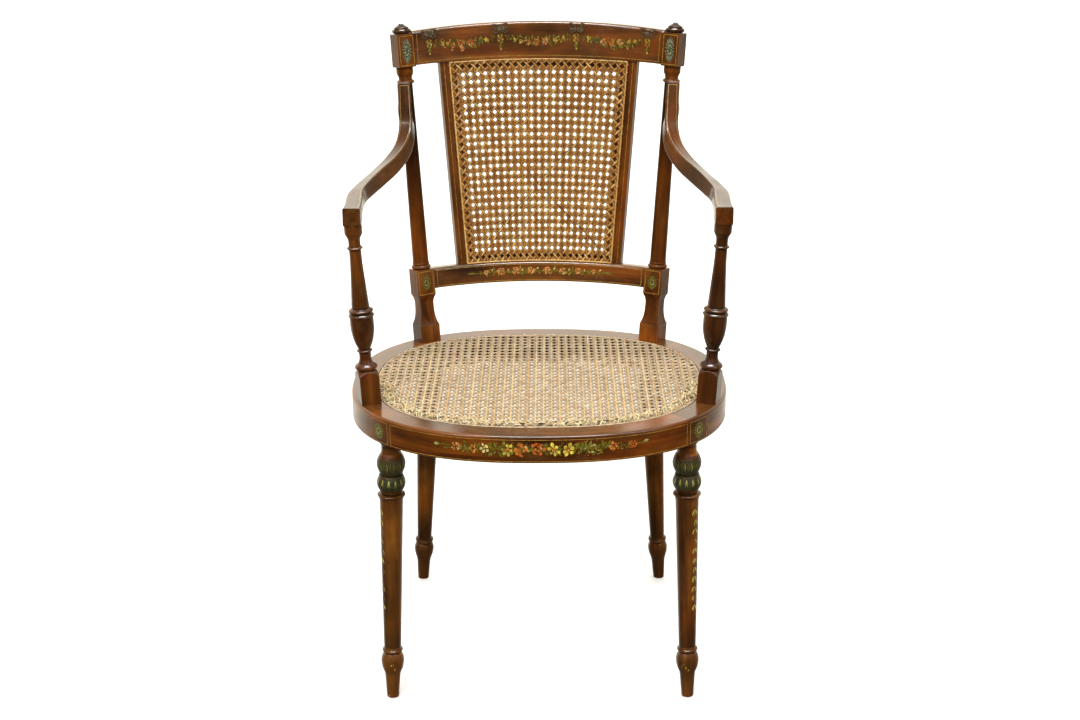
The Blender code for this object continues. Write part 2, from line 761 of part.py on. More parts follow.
def build_back_cane():
    base = STILE_FRONT + 2 * GAP
    bm = bmesh.new()
    bmesh.ops.create_grid(bm, x_segments=BACK_CANE_COLUMNS, y_segments=BACK_CANE_ROWS, size=1.0)
    for corner in bm.verts:
        corner.co = cane_point(corner.co.x, (corner.co.y + 1) / 2, base)
    bm.normal_update()
    cells = list(bm.faces)
    bmesh.ops.inset_individual(bm, faces=cells, thickness=BACK_CANE_BAR / 2, use_even_offset=True)
    bmesh.ops.delete(bm, geom=cells, context="FACES")
    front = Vector((0, -1, 0))
    for face in bm.faces:
        if face.normal.dot(front) < 0:
            face.normal_flip()
    mesh = bpy.data.meshes.new("back_cane")
    bm.to_mesh(mesh)
    bm.free()
    cane = straw(add_object("back_cane", mesh, parent=BACK))
    thicken = cane.modifiers.new("thickness", "SOLIDIFY")
    thicken.thickness = CANE_THICKNESS
    thicken.offset = 1.0
    build_back_binder(base + CANE_THICKNESS + 2 * GAP)


def build_back_binder(base):
    shares = [k / BINDER_STEPS for k in range(BINDER_STEPS)]
    route = [(2 * share - 1, 0.0) for share in shares]
    route += [(1.0, share) for share in shares]
    route += [(1 - 2 * share, 1.0) for share in shares]
    route += [(-1.0, 1 - share) for share in shares]
    top = base + BINDER_THICKNESS
    loops = []
    for across, up in route:
        loops.append([cane_point(across, up, base), cane_point(across, up, top),
                      cane_point(across, up, top, BINDER_WIDTH), cane_point(across, up, base, BINDER_WIDTH)])
    straw(loft("back_binder", loops, BACK, ring=True))


# Rear posts and finials

def post_matrix(side):
    """Frame of a post, in the frame of the back: Z up the post, Y out through its back face."""
    turn = math.radians(POST_TURN) * side
    outward = Vector((math.cos(turn), -math.sin(turn), 0))
    start = Vector((side * POST_BASE.x, 0, 0))
    return frame_along(start, (side * POST_LEAN, 0, 1), outward)


def column_radius(height):
    start = LOWER_BLOCK_TOP + COLUMN_COLLAR_HEIGHT
    share = (height - start) / (CREST_BLOCK_BOTTOM - NECK_LENGTH - start)
    return COLUMN_FOOT_RADIUS + (COLUMN_HEAD_RADIUS - COLUMN_FOOT_RADIUS) * share


def column_outline():
    ring_top = CREST_BLOCK_BOTTOM - NECK_LENGTH
    ring_low = ring_top - NECK_RING_HEIGHT
    collar_top = LOWER_BLOCK_TOP + COLUMN_COLLAR_HEIGHT
    return [
        (CREST_BLOCK_BOTTOM + LAP, NECK_RADIUS),
        (CREST_BLOCK_BOTTOM - NECK_BAND, NECK_RADIUS),
        (ring_top + NECK_FILLET, COLUMN_HEAD_RADIUS),
        *swell(ring_top, ring_low, COLUMN_HEAD_RADIUS, NECK_RING_RADIUS, COLUMN_HEAD_RADIUS, BEAD_STEPS),
        *swell(collar_top, LOWER_BLOCK_TOP, COLUMN_FOOT_RADIUS, COLUMN_COLLAR_RADIUS, COLUMN_FOOT_RADIUS,
               BEAD_STEPS),
        (LOWER_BLOCK_TOP - LAP, COLUMN_FOOT_RADIUS),
    ]


def square(side, height):
    half = side / 2
    return [Vector((half, half, height)), Vector((-half, half, height)),
            Vector((-half, -half, height)), Vector((half, -half, height))]


def post_foot_sections():
    """Square foot, hollow waist and lower block of a post, from the seat up."""
    sections = [square(POST_FOOT_SIDE, -LAP), square(POST_FOOT_SIDE, POST_FOOT_TOP)]
    hollow = (POST_FOOT_SIDE + LOWER_BLOCK_SIDE) / 2 - POST_WAIST_SIDE
    for k in range(1, WAIST_STEPS):
        share = k / WAIST_STEPS
        straight = POST_FOOT_SIDE + (LOWER_BLOCK_SIDE - POST_FOOT_SIDE) * share
        height = POST_FOOT_TOP + (LOWER_BLOCK_BOTTOM - POST_FOOT_TOP) * share
        sections.append(square(straight - hollow * math.sin(math.pi * share), height))
    return sections + [square(LOWER_BLOCK_SIDE, LOWER_BLOCK_BOTTOM), square(LOWER_BLOCK_SIDE, LOWER_BLOCK_TOP)]


def crest_block(name, matrix, grow, parent=None):
    """Square block at the head of a post, grown on all sides where it cuts a hollow."""
    middle = (CREST_BLOCK_BOTTOM + CREST_BLOCK_TOP) / 2
    side = CREST_BLOCK_SIDE + 2 * grow
    size = (side, side, CREST_BLOCK_TOP - CREST_BLOCK_BOTTOM + 2 * grow)
    return box(name, size, matrix @ Matrix.Translation((0, 0, middle)), parent)


def build_post(name, side, back_rail):
    matrix = post_matrix(side)
    post = wood(loft(name, post_foot_sections(), BACK))
    post.matrix_local = matrix
    join(post, as_tool(turned(name + "_column", column_outline(), matrix, BACK)))
    join(post, as_tool(crest_block(name + "_block", matrix, 0, BACK)))
    cut(post, SEAT_SLAB)
    depth = POST_TENON_LENGTH + LAP
    at = matrix @ Matrix.Translation((0, 0, (LAP - POST_TENON_LENGTH) / 2))
    size = Vector((POST_TENON_SIDE, POST_TENON_SIDE, depth))
    join(post, as_tool(box(name + "_tenon", size, at, BACK)))
    grown = size + Vector((2 * GAP, 2 * GAP, 2 * GAP))
    cut(back_rail, as_tool(box(name + "_mortise", grown, at, BACK)))
    return post


def finial_outline():
    """Domed button on a spigot, from the top down."""
    outline = []
    for k in range(1, BULGE_STEPS + 1):
        angle = math.pi / 2 * (1 - k / BULGE_STEPS)
        height = FINIAL_EDGE + (FINIAL_HEIGHT - FINIAL_EDGE) * math.sin(angle)
        outline.append((height, FINIAL_RADIUS * math.cos(angle)))
    outline[0] = (FINIAL_HEIGHT, outline[0][1])
    return outline + [(GAP, FINIAL_BASE_RADIUS), (GAP, SPIGOT_RADIUS), (-SPIGOT_LENGTH, SPIGOT_RADIUS)]


def build_finial(name, side, post):
    matrix = post_matrix(side) @ Matrix.Translation((0, 0, CREST_BLOCK_TOP))
    wood(turned(name, finial_outline(), matrix, BACK))
    at = matrix @ Matrix.Translation((0, 0, -SPIGOT_LENGTH - GAP))
    cut(post, as_tool(rod(name + "_socket", SPIGOT_RADIUS + GAP, SPIGOT_LENGTH + LAP, at, BACK)))


# Arms and their supports

def support_matrix(side):
    foot = oval(-SUPPORT_ANGLE, SUPPORT_INSET, SEAT_HEIGHT)
    turn = math.radians(SUPPORT_TURN) * side
    outward = Vector((math.cos(turn), -math.sin(turn), 0))
    return frame_along(foot * Vector((side, 1, 1)), (side * SUPPORT_LEAN, 0, 1), outward)


def bead(middle):
    half = SUPPORT_BEAD_HEIGHT / 2
    return swell(middle + half, middle - half, SUPPORT_NECK_RADIUS, SUPPORT_BEAD_RADIUS,
                 SUPPORT_NECK_RADIUS, BEAD_STEPS)


def urn(top, bottom):
    """Quarter wave from the urn's shoulder down to its foot."""
    points = []
    for k in range(BULGE_STEPS + 1):
        share = k / BULGE_STEPS
        radius = URN_FOOT_RADIUS + (URN_RADIUS - URN_FOOT_RADIUS) * math.cos(math.pi / 2 * share)
        points.append((top + (bottom - top) * share, radius))
    return points


def support_outline():
    block = SUPPORT_BLOCK_HEIGHT
    ring = block + DOUBLE_RING_RISE
    cap = SUPPORT_TOP - SUPPORT_CAP_HEIGHT
    neck = SUPPORT_NECK_RADIUS
    torus = block + SUPPORT_TORUS_HEIGHT
    return [
        (SUPPORT_TOP + LAP, SUPPORT_CAP_RADIUS),
        (cap, SUPPORT_CAP_RADIUS),
        (cap - SUPPORT_CAP_SCOOP, neck),
        *bead(SUPPORT_TOP - UPPER_BEAD_DROP),
        *swell(ring + SINGLE_RING_HEIGHT, ring, SUPPORT_SHAFT_RADIUS, DOUBLE_RING_RADIUS, DOUBLE_RING_HOLLOW,
               BEAD_STEPS),
        *swell(ring, ring - SINGLE_RING_HEIGHT, DOUBLE_RING_HOLLOW, DOUBLE_RING_RADIUS, URN_RADIUS,
               BEAD_STEPS)[1:-1],
        *urn(ring - SINGLE_RING_HEIGHT, block + URN_FOOT_RISE),
        *bead(block + LOWER_BEAD_RISE),
        *swell(torus, block, neck, SUPPORT_TORUS_RADIUS, SUPPORT_TORUS_BASE, BULGE_STEPS),
        (block - LAP, SUPPORT_TORUS_BASE),
    ]


def build_support(name, side, rail, arm):
    matrix = support_matrix(side)
    size = (SUPPORT_BLOCK_SIDE, SUPPORT_BLOCK_SIDE, SUPPORT_BLOCK_HEIGHT + LAP)
    at = matrix @ Matrix.Translation((0, 0, (SUPPORT_BLOCK_HEIGHT - LAP) / 2))
    support = wood(box(name, size, at))
    join(support, as_tool(turned(name + "_baluster", support_outline(), matrix)))
    cut(support, SEAT_SLAB)
    cut(support, ARM_SLAB)
    low = matrix @ Matrix.Translation((0, 0, -SUPPORT_TENON_LENGTH))
    length = SUPPORT_TENON_LENGTH + 2 * LAP
    join(support, as_tool(rod(name + "_tenon", SUPPORT_TENON_RADIUS, length, low)))
    deeper = low @ Matrix.Translation((0, 0, -GAP))
    cut(rail, as_tool(rod(name + "_mortise", SUPPORT_TENON_RADIUS + GAP, length, deeper)))
    high = matrix @ Matrix.Translation((0, 0, SUPPORT_TOP - LAP))
    length = SUPPORT_HEAD_TENON_LENGTH + LAP
    join(support, as_tool(rod(name + "_head_tenon", SUPPORT_HEAD_TENON_RADIUS, length, high)))
    socket = rod(name + "_head_mortise", SUPPORT_HEAD_TENON_RADIUS + GAP, length + GAP, high)
    cut(arm, as_tool(socket))


def smooth_path(points, per_span):
    """Points of a curve that passes through all of the given points."""
    path = []
    for k in range(len(points) - 1):
        before = points[max(k - 1, 0)]
        start = points[k]
        end = points[k + 1]
        after = points[min(k + 2, len(points) - 1)]
        for j in range(per_span):
            t = j / per_span
            path.append(0.5 * (2 * start + (end - before) * t
                               + (2 * before - 5 * start + 4 * end - after) * t ** 2
                               + (3 * start - before - 3 * end + after) * t ** 3))
    path.append(points[-1])
    return path


def arm_route(side):
    """Middle of an arm's face, which looks forward at the post and upward further on."""
    on_post = BACK_MATRIX @ post_matrix(side) @ Vector((0, 0, ARM_HEAD))
    reach = column_radius(ARM_HEAD) + ARM_THICKNESS - ARM_BED
    start = on_post + Vector((0, -reach, 0))
    over = support_matrix(side) @ Vector((0, 0, SUPPORT_TOP))
    end = Vector((over.x, over.y - ARM_OVERHANG, ARM_UNDERSIDE + ARM_END_THICKNESS))
    run = end - start
    points = [start]
    for forward, down, outward in ARM_SWEEP:
        points.append(start + Vector((run.x * outward, run.y * forward, run.z * down)))
    square_end = end + Vector((0, ARM_END_LENGTH, 0))
    points.append(square_end + Vector((0, ARM_END_SLOPE, 0)))
    return [*smooth_path(points, ARM_SPAN_STEPS), square_end, end]


def arm_loops(route):
    loops = []
    last = len(route) - 1
    ease = ARM_EDGE_EASE
    for k, point in enumerate(route):
        along = (route[min(k + 1, last)] - route[max(k - 1, 0)]).normalized()
        across = Vector((-along.y, along.x, 0)).normalized()
        back = across.cross(along)
        half = (ARM_HEAD_WIDTH + (ARM_END_WIDTH - ARM_HEAD_WIDTH) * k / last) / 2
        deep = ARM_END_THICKNESS if k >= last - 1 else ARM_THICKNESS
        outline = ((half, ease), (half - ease, 0), (ease - half, 0), (-half, ease),
                   (-half, deep - ease), (ease - half, deep), (half - ease, deep), (half, deep - ease))
        loops.append([point + across * a + back * b for a, b in outline])
    return loops


def build_arm(name, side, post):
    arm = wood(loft(name, arm_loops(arm_route(side))))
    matrix = BACK_MATRIX @ post_matrix(side)
    outline = [(height, radius + GAP) for height, radius in column_outline()]
    cut(arm, as_tool(turned(name + "_hollow", outline, matrix)))
    cut(arm, as_tool(crest_block(name + "_block_hollow", matrix, GAP)))
    into = matrix @ Vector((0, 0, ARM_HEAD - ARM_DOWEL_DROP))
    start = frame_along(into + Vector((0, ARM_DOWEL_BACK, 0)), (0, -1, 0))
    wood(rod(name.replace("arm_", "arm_dowel_"), ARM_DOWEL_RADIUS, ARM_DOWEL_LENGTH, start))
    deeper = start @ Matrix.Translation((0, 0, -GAP))
    hole = as_tool(rod(name + "_dowel_hole", ARM_DOWEL_RADIUS + GAP, ARM_DOWEL_LENGTH + 2 * GAP, deeper))
    cut(arm, hole)
    cut(post, hole)
    return arm


clear_scene()
PARTS = add_collection(COLLECTION_NAME)
CUTTERS = add_collection("cutters")
POST_BASE = oval(POST_ANGLE, POST_INSET, SEAT_HEIGHT)
ARM_UNDERSIDE = SEAT_HEIGHT + SUPPORT_TOP / math.sqrt(1 + SUPPORT_LEAN ** 2)
BACK = bpy.data.objects.new("back_frame", None)
PARTS.objects.link(BACK)
BACK_MATRIX = (Matrix.Translation((0, POST_BASE.y, SEAT_HEIGHT))
               @ Matrix.Rotation(-math.radians(BACK_RAKE), 4, "X"))
BACK.matrix_world = BACK_MATRIX
FLOOR_SLAB = trim_slab("floor_slab", -RAIL_HEIGHT, 0.0)
UNDER_SEAT_SLAB = trim_slab("under_seat_slab", UNDER_SEAT - GAP, SEAT_HEIGHT)
SEAT_SLAB = trim_slab("seat_slab", UNDER_SEAT, SEAT_HEIGHT + GAP)
ARM_SLAB = trim_slab("arm_slab", ARM_UNDERSIDE - GAP, ARM_UNDERSIDE + ARM_END_THICKNESS)

seat_ring = build_seat_ring()
build_seat_cane()
build_legs(seat_ring)
back_posts = {word: build_post("back_post_" + word, side, seat_ring["back"]) for word, side in SIDES}
crest_rail = build_back_rail("crest_rail", crest_bottom, crest_top, CREST_BLOCK_SIDE, back_posts)
lower_rail = build_back_rail("lower_back_rail", lower_bottom, lower_top, LOWER_BLOCK_SIDE, back_posts)
back_stiles = {word: build_stile("back_stile_" + word, side, crest_rail, lower_rail) for word, side in SIDES}
build_slat("cane_slat_top", raised(crest_bottom, -GAP - SLAT_HEIGHT), back_stiles)
build_slat("cane_slat_bottom", raised(lower_top, GAP), back_stiles)
build_back_cane()
for side_word, side_sign in SIDES:
    build_finial("finial_" + side_word, side_sign, back_posts[side_word])
    chair_arm = build_arm("arm_" + side_word, side_sign, back_posts[side_word])
    build_support("arm_support_" + side_word, side_sign, seat_ring[side_word], chair_arm)
bpy.context.view_layer.update()
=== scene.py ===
"""Looks of the painted armchair: shaped and turned wood, woven cane and painted ornament.

Metres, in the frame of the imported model: +Z up, front of the chair towards -Y. Left and right are those
of someone who looks at the front of the chair.
"""
import bisect
import math
import random

import bmesh
import bpy
from mathutils import Matrix, Vector


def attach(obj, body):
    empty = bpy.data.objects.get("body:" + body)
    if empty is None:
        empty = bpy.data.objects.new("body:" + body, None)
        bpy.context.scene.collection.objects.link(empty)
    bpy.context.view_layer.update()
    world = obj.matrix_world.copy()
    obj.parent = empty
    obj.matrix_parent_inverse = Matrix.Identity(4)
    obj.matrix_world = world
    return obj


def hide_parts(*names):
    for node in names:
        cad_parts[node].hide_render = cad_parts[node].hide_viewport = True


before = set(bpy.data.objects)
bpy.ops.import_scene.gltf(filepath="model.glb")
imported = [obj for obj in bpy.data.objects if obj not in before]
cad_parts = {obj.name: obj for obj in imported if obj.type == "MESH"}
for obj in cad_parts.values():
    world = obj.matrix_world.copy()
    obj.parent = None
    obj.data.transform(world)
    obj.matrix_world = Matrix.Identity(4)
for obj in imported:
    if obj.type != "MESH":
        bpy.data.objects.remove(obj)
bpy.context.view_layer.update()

# Seat ring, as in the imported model
SEAT_HEIGHT = 0.430
SEAT_HALF_WIDTH = 0.268
SEAT_HALF_DEPTH = 0.2412
SEAT_SQUARENESS = 2.4            # exponent of the oval, 2 is an ellipse
SEAT_CENTRE_Y = -0.0205
RAIL_WIDTH = 0.050
RAIL_HEIGHT = 0.038
RAIL_EDGE_ROUND = 0.004
RAIL_SMALL_ROUND = 0.0012
RIM_WIDTH = 0.034                # bare wood from the outer edge to the cane
RIM_ROUND = 0.0008
STEP_ROUND = 0.0003              # rounding in the corner of the step for the cane
CANE_STEP = 0.0025
FRONT_BLOCK_START = 33.0         # degrees round the oval, from the side towards the front
FRONT_BLOCK_END = 44.0
REAR_JOINT_ANGLE = 41.0
UNDER_SEAT = SEAT_HEIGHT - RAIL_HEIGHT

# Legs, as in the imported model
FRONT_LEG_INSET = 0.020
FRONT_LEG_SPLAY = 0.0083
FRONT_LEG_ADVANCE = 0.004
FRONT_CAP_RADIUS = 0.0170        # flared moulding against the block
FRONT_CAP_HEIGHT = 0.0075
FRONT_NECK_RADIUS = 0.0135
FRONT_NECK_LENGTH = 0.017
BULB_RADIUS = 0.0198
BULB_HEIGHT = 0.032
BULB_WAIST_RADIUS = 0.0150
BULB_GROOVE_RADIUS = 0.0140
BULB_GROOVE_HEIGHT = 0.0018
LOWER_BULB_SHELF = 0.0165
LOWER_BULB_HEIGHT = 0.026
COLLAR_DROP = 0.004
COLLAR_RADIUS = 0.0196
COLLAR_BAND = 0.0022
COLLAR_HEIGHT = 0.010
FRONT_SHAFT_RADIUS = 0.0162
FRONT_ANKLE = (0.0121, 0.0146, 0.0162, 0.0107, 0.0084)   # radii: shaft, ring, bulb, waist, toe
REAR_LEG_INSET = 0.0165
REAR_LEG_SPLAY = 0.0224
REAR_LEG_RAKE = 0.065
REAR_LEG_RADIUS = 0.0180
REAR_ANKLE = (0.0114, 0.0145, 0.0154, 0.0106, 0.0086)
ANKLE_HEIGHT = 0.080
ANKLE_RING_FLARE = 0.004
ANKLE_RING_BAND = 0.003
ANKLE_HOLLOW = 0.004
ANKLE_BULB_FOOT = 0.036
FOOT_SPARE = 0.003               # leg below the floor, pressed flat onto it

# Rear posts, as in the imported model
POST_ANGLE = 51.5
POST_INSET = 0.0130
POST_TURN = 29.0
POST_LEAN = 0.062
BACK_RAKE = 4.0
POST_FOOT_SIDE = 0.0318
POST_FOOT_TOP = 0.0256
FOOT_FLARE = 3.0                 # power of the curve above a post's foot
POST_WAIST_SIDE = 0.0222
BLOCK_COVE = 0.0130              # height of the hollow curve from a post's waist to the block above
LOWER_BLOCK_SIDE = 0.0292
LOWER_BLOCK_BOTTOM = 0.0705
LOWER_BLOCK_TOP = 0.1110
COLUMN_FOOT_RADIUS = 0.0122
COLUMN_HEAD_RADIUS = 0.0100
COLUMN_COLLAR_RADIUS = 0.0149
COLUMN_TORUS_HEIGHT = 0.0072
COLUMN_BAND_RADIUS = 0.0131
COLUMN_COLLAR_HEIGHT = 0.0110
NECK_RADIUS = 0.0127
NECK_LENGTH = 0.0185
NECK_BAND = 0.0074
NECK_RING_RADIUS = 0.0134
NECK_RING_HEIGHT = 0.0062
CREST_BLOCK_SIDE = 0.0272
CREST_BLOCK_BOTTOM = 0.4168
CREST_BLOCK_TOP = 0.4655
FINIAL_HEIGHT = 0.0152
FINIAL_RADIUS = 0.0142
BLOCK_CORNER = 0.0011            # rounding of the blocks' upright edges
BLOCK_EASE = 0.0006              # rounding of the blocks' level edges
SUNK = 0.002                     # foot of a post or support inside the wood that carries it

# Bowed back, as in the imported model
BACK_RAIL_THICKNESS = 0.020
BACK_RAIL_ROUND = 0.0042
CREST_BOTTOM = 0.4175
CREST_HEIGHT = 0.0492
CREST_BOTTOM_RISE = 0.0076
CREST_TOP_RISE = 0.0130
LOWER_RAIL_BOTTOM = 0.0797
LOWER_RAIL_HEIGHT = 0.0311
LOWER_RAIL_RISE = 0.0033
STILE_WIDTH = 0.0245
STILE_THICKNESS = 0.0135
STILE_FRONT = 0.006
STILE_FOOT_INSET = 0.0660
STILE_HEAD_INSET = 0.0619
STILE_ROUND = 0.0012
CANE_LAP = 0.0120

# Arms and supports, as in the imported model
ARM_HEAD = 0.3974
ARM_HEAD_SLOPE = 0.030           # length at the top where the face slopes back to the column
ARM_HEAD_SETBACK = 0.0050
ARM_NARROWING = 0.0006           # how much narrower the arm's head is on each side
ARM_NARROW_LENGTH = 0.090
# Degrees by which the arm's face turns outward, at shares of its length
ARM_TURNS = ((0.0, 0.0), (0.12, 3.0), (0.28, 12.0), (0.50, 20.0), (0.68, 16.0), (0.84, 4.0), (0.92, 0.0),
             (1.0, 0.0))
ARM_HEAD_WIDTH = 0.0195
ARM_END_WIDTH = 0.0240
ARM_THICKNESS = 0.0185
ARM_BELLY = 0.0045               # how much deeper the arm is halfway along
ARM_END_THICKNESS = 0.0245
ARM_END_LENGTH = 0.0250
ARM_END_SLOPE = 0.0060
ARM_FACE_ROUND = 0.0026
ARM_UNDER_ROUND = 0.0050
ARM_END_ROUND = 0.0010
ARM_BED = 0.003
ARM_OVERHANG = 0.0125
# Shares of the way from the post to the front end: forward, down, outward
ARM_SWEEP = (
    (0.010, 0.256, -0.010),
    (0.040, 0.505, -0.030),
    (0.105, 0.697, 0.052),
    (0.224, 0.826, 0.291),
    (0.379, 0.910, 0.613),
    (0.543, 0.964, 0.893),
    (0.690, 0.988, 1.030),
)
SUPPORT_ANGLE = 22.5
SUPPORT_INSET = 0.0165
SUPPORT_TURN = 20.0
SUPPORT_LEAN = 0.057
SUPPORT_BLOCK_SIDE = 0.028
SUPPORT_BLOCK_HEIGHT = 0.0475
SUPPORT_DOME = 0.0085            # height of the arched top of the block's faces
SUPPORT_TOP = 0.2550
SUPPORT_TORUS_RADIUS = 0.0158
SUPPORT_TORUS_HEIGHT = 0.0105
SUPPORT_NECK_RADIUS = 0.0083
SUPPORT_BEAD_RADIUS = 0.0109
SUPPORT_BEAD_HEIGHT = 0.0045
LOWER_BEAD_RISE = 0.0285
UPPER_BEAD_DROP = 0.033
URN_FOOT_RADIUS = 0.0093
URN_FOOT_RISE = 0.0335
URN_RADIUS = 0.0164
URN_SHAPE = ((0.040, 0.0121), (0.050, 0.0148), (0.062, 0.0163))   # heights above the block, and radii
DOUBLE_RING_RISE = 0.0835
DOUBLE_RING_RADIUS = 0.0178
DOUBLE_RING_HOLLOW = 0.0159
UPPER_RING_RADIUS = 0.0170
SINGLE_RING_HEIGHT = 0.0065
SUPPORT_SHAFT_RADIUS = 0.0123
SHAFT_TAPER = 0.030              # height above the rings where most of the taper is over
SHAFT_TAPER_RADIUS = 0.0104
SUPPORT_CAP_RADIUS = 0.0124
SUPPORT_CAP_FOOT = 0.0121
SUPPORT_CAP_HEIGHT = 0.0125
SUPPORT_CAP_SCOOP = 0.0085

# Cane
# Widths of the strands, thickness in their middle, rise and fall; half distances of pairs are in pitches
BACK_WEAVE = {"upright": 0.0023, "level": 0.0023, "slanted": 0.0035, "crown": 0.0008, "wave": 0.0005,
              "slanted_wave": 0.0009, "upright_pair": 0.096, "level_pair": 0.096, "shade": 0.10, "steps": 6}
SEAT_WEAVE = {"upright": 0.0028, "level": 0.0019, "slanted": 0.0034, "crown": 0.0006, "wave": 0.0003,
              "slanted_wave": 0.0005, "upright_pair": 0.110, "level_pair": 0.062, "shade": 0.22, "steps": 4}
CANE_EDGE_SHADE = 0.42           # painted shade: tint at a strand's edges, as a share of its middle
SEAT_PITCH_ACROSS = 0.0112
SEAT_PITCH_ALONG = 0.0140
BACK_COLUMNS = 24
BACK_ROWS = 27
BACK_TRIM = 0.24                 # part of a pitch that the back's edges cut off
SEAT_BINDER_WIDTH = 0.0030
BACK_BINDER_WIDTH = 0.0030
BINDER_CROWN = 0.0008
STITCH_WIDTH = 0.0016
FIBRE_CROWN = 0.0004             # thickness of stitches and loose fibres
SEAT_STITCHES = 170
PROBE = 0.001                    # step forward that shows where the front of the cane looks
FRAYED_FIBRES = 430
FRINGE_EDGE_SHADE = 0.75
GAP_SHADOW_COUNT = 170                       # dark strands painted as shadows in the gaps of the worn front of the seat

# Paint
PAINT_LIFT = 0.00012             # first stroke above the wood
PAINT_LAYER = 0.000003           # each stroke above the one before
GOLD_WIDTH = 0.0009
LINE_STEP = 0.004                # longest straight stretch of a painted line
LEAF_STEPS = 7
SPOT_STEPS = 8

# Camera, found from the photo's outline; its picture is taken as 1080 by 720 pixels
PICTURE_WIDTH = 1080
FOCAL_PIXELS = 1828.8
SENSOR_WIDTH = 36.0
CAMERA_PLACE = (0.014, -2.5205, 1.2823)
CAMERA_PITCH = -18.27
CAMERA_YAW = -0.29
CAMERA_ROLL = -0.28

# Light: place, spread in degrees and strength of the suns, then place, size and power of the soft boxes
SUNS = {
    "key": ((-1.0, -2.6, 1.9), 50.0, 2.7),
    "fill": ((1.8, -2.0, 1.5), 70.0, 1.2),
    "top": ((0.2, 0.6, 2.6), 80.0, 1.2),
}
SOFT_BOXES = {
    "left_box": ((-1.3, -1.7, 2.3), (0.35, 0.35), 18.0),
    "right_box": ((1.6, -1.4, 2.2), (0.35, 0.35), 12.0),
    "top_box": ((0.0, -0.7, 2.7), (1.4, 0.5), 100.0),
}
LIT_POINT = (0.0, 0.0, 0.5)      # where the soft boxes point
BACKDROP = 1.85                  # brightness of the room low down behind the chair
ROOM_COLOUR = (1.0, 0.96, 0.82, 1.0)
# Height of a direction, from 0 straight down to 1 straight up, and the room's brightness there
FRONT_LIGHT = ((0.45, 0.10), (0.62, 0.18), (0.85, 0.6))
BACK_LIGHT = ((0.15, 0.2), (0.33, 0.7), (0.56, 1.0), (0.72, 0.9), (0.90, 0.3))
FLOOR_REACH = 40.0

# Fineness of the meshes
SMOOTH_ANGLE = 38.0
EDGE_BEND = 260.0                # bend, in 1/m, that counts as a full edge
TURNED_STEPS = 56
SEAT_STEP = 1.0                  # degrees between sections of the seat ring
ARC_STEP = 0.25                  # degrees between points of the seat's arc table
CURVE_STEPS = 6
COVE_STEPS = 8
BACK_STEPS = 64
STILE_STEPS = 24
ARM_SPAN_STEPS = 10
STAIN_STEPS = 12
ROUND_STEPS = 5
END_EASE = 0.0006
STRAND_BACK = 0.0002
RING_JOINT_EASE = 0.00015
SHADE_MARGIN = 0.0002            # wood of the step for the cane that isn't painted black as shade
SIDES = (("left", -1), ("right", 1))
HANDS = (-1, 1)                  # the left and the right hand of something
# Degrees from a square post's corner to the points of its section
CORNER_OFFSETS = (0.4, 1.1, 1.8, 2.6, 4.5, 8.0, 13.0, 19.0, 26.0, 34.0, 45.0)
WIDE = 1.0                       # radius or half side that limits nothing

# Refractive indices
PAINT_IOR = 1.36
CANE_IOR = 1.30

# Wood colours, linear: along the grain, factors on them in patches, and what wear, darkening near
# the floor, painted light on faces that look up and painted shade in hollows change them to
GRAIN = ((0.33, (0.028, 0.0070, 0.0011)), (0.45, (0.074, 0.0195, 0.0021)), (0.56, (0.125, 0.0355, 0.0036)),
         (0.70, (0.210, 0.0660, 0.0074)))
PATCHES = ((0.34, (0.54, 0.58, 0.75)), (0.50, (1.0, 1.0, 1.0)), (0.64, (1.62, 1.36, 1.0)))
# Colour that the wood gets darker to near the floor
LOW_DARK_WOOD = (0.030, 0.0120, 0.0040)
# Painted light: lighter colour of faces that look up
TOP_LIGHT_WOOD = (0.170, 0.0800, 0.0220)
RUBBED_WOOD = (0.150, 0.0600, 0.0130)
PORES = (0.018, 0.0050, 0.0008)
CHIPPED_WOOD = (0.190, 0.0840, 0.0240)
# Painted shade: colour of hollows and of the step under the cane
PAINTED_SHADE_WOOD = (0.0070, 0.0034, 0.0014)

# Paint colours, linear
PALE_GOLD = (0.60, 0.44, 0.20)
GOLD = (0.42, 0.245, 0.046)
OLIVE = (0.034, 0.036, 0.014)
DARK_GREEN = (0.056, 0.052, 0.006)
LEAF_GREEN = (0.175, 0.155, 0.012)
PALE_GREEN = (0.230, 0.250, 0.045)
BLUE_GREEN = (0.048, 0.090, 0.045)
PALE_BLUE = (0.360, 0.420, 0.270)
BLUE_GREY = (0.110, 0.112, 0.070)
HUSK = (0.400, 0.330, 0.060)
# Painted shade in the groove between a front leg's bulbs
GROOVE_SHADE = (0.008, 0.006, 0.003)
CHIP = (0.600, 0.450, 0.220)
YELLOW = (0.680, 0.520, 0.075)
CREAM = (0.780, 0.660, 0.270)
ORANGE = (0.740, 0.230, 0.040)
RED = (0.520, 0.090, 0.018)
SALMON = (0.860, 0.420, 0.210)
BROWN = (0.070, 0.019, 0.003)

chance = random.Random(11)


# Curves and outlines

def shares(count):
    """Even steps from 0 to 1."""
    return [k / count for k in range(count + 1)]


def between(start, end, share):
    """Number or point at a share of the way from start to end."""
    return start + (end - start) * share


def eased(share):
    """Share that starts and ends gently."""
    return share * share * (3 - 2 * share)


def circle(angle):
    """Cosine and sine of an angle in degrees."""
    return math.cos(math.radians(angle)), math.sin(math.radians(angle))


def signed_power(value, power):
    return math.copysign(abs(value) ** power, value)


def find(lengths, value):
    """Index of the first length beyond a value, and the share of the way to it from the one before."""
    after = min(max(bisect.bisect(lengths, value), 1), len(lengths) - 1)
    return after, (value - lengths[after - 1]) / (lengths[after] - lengths[after - 1])


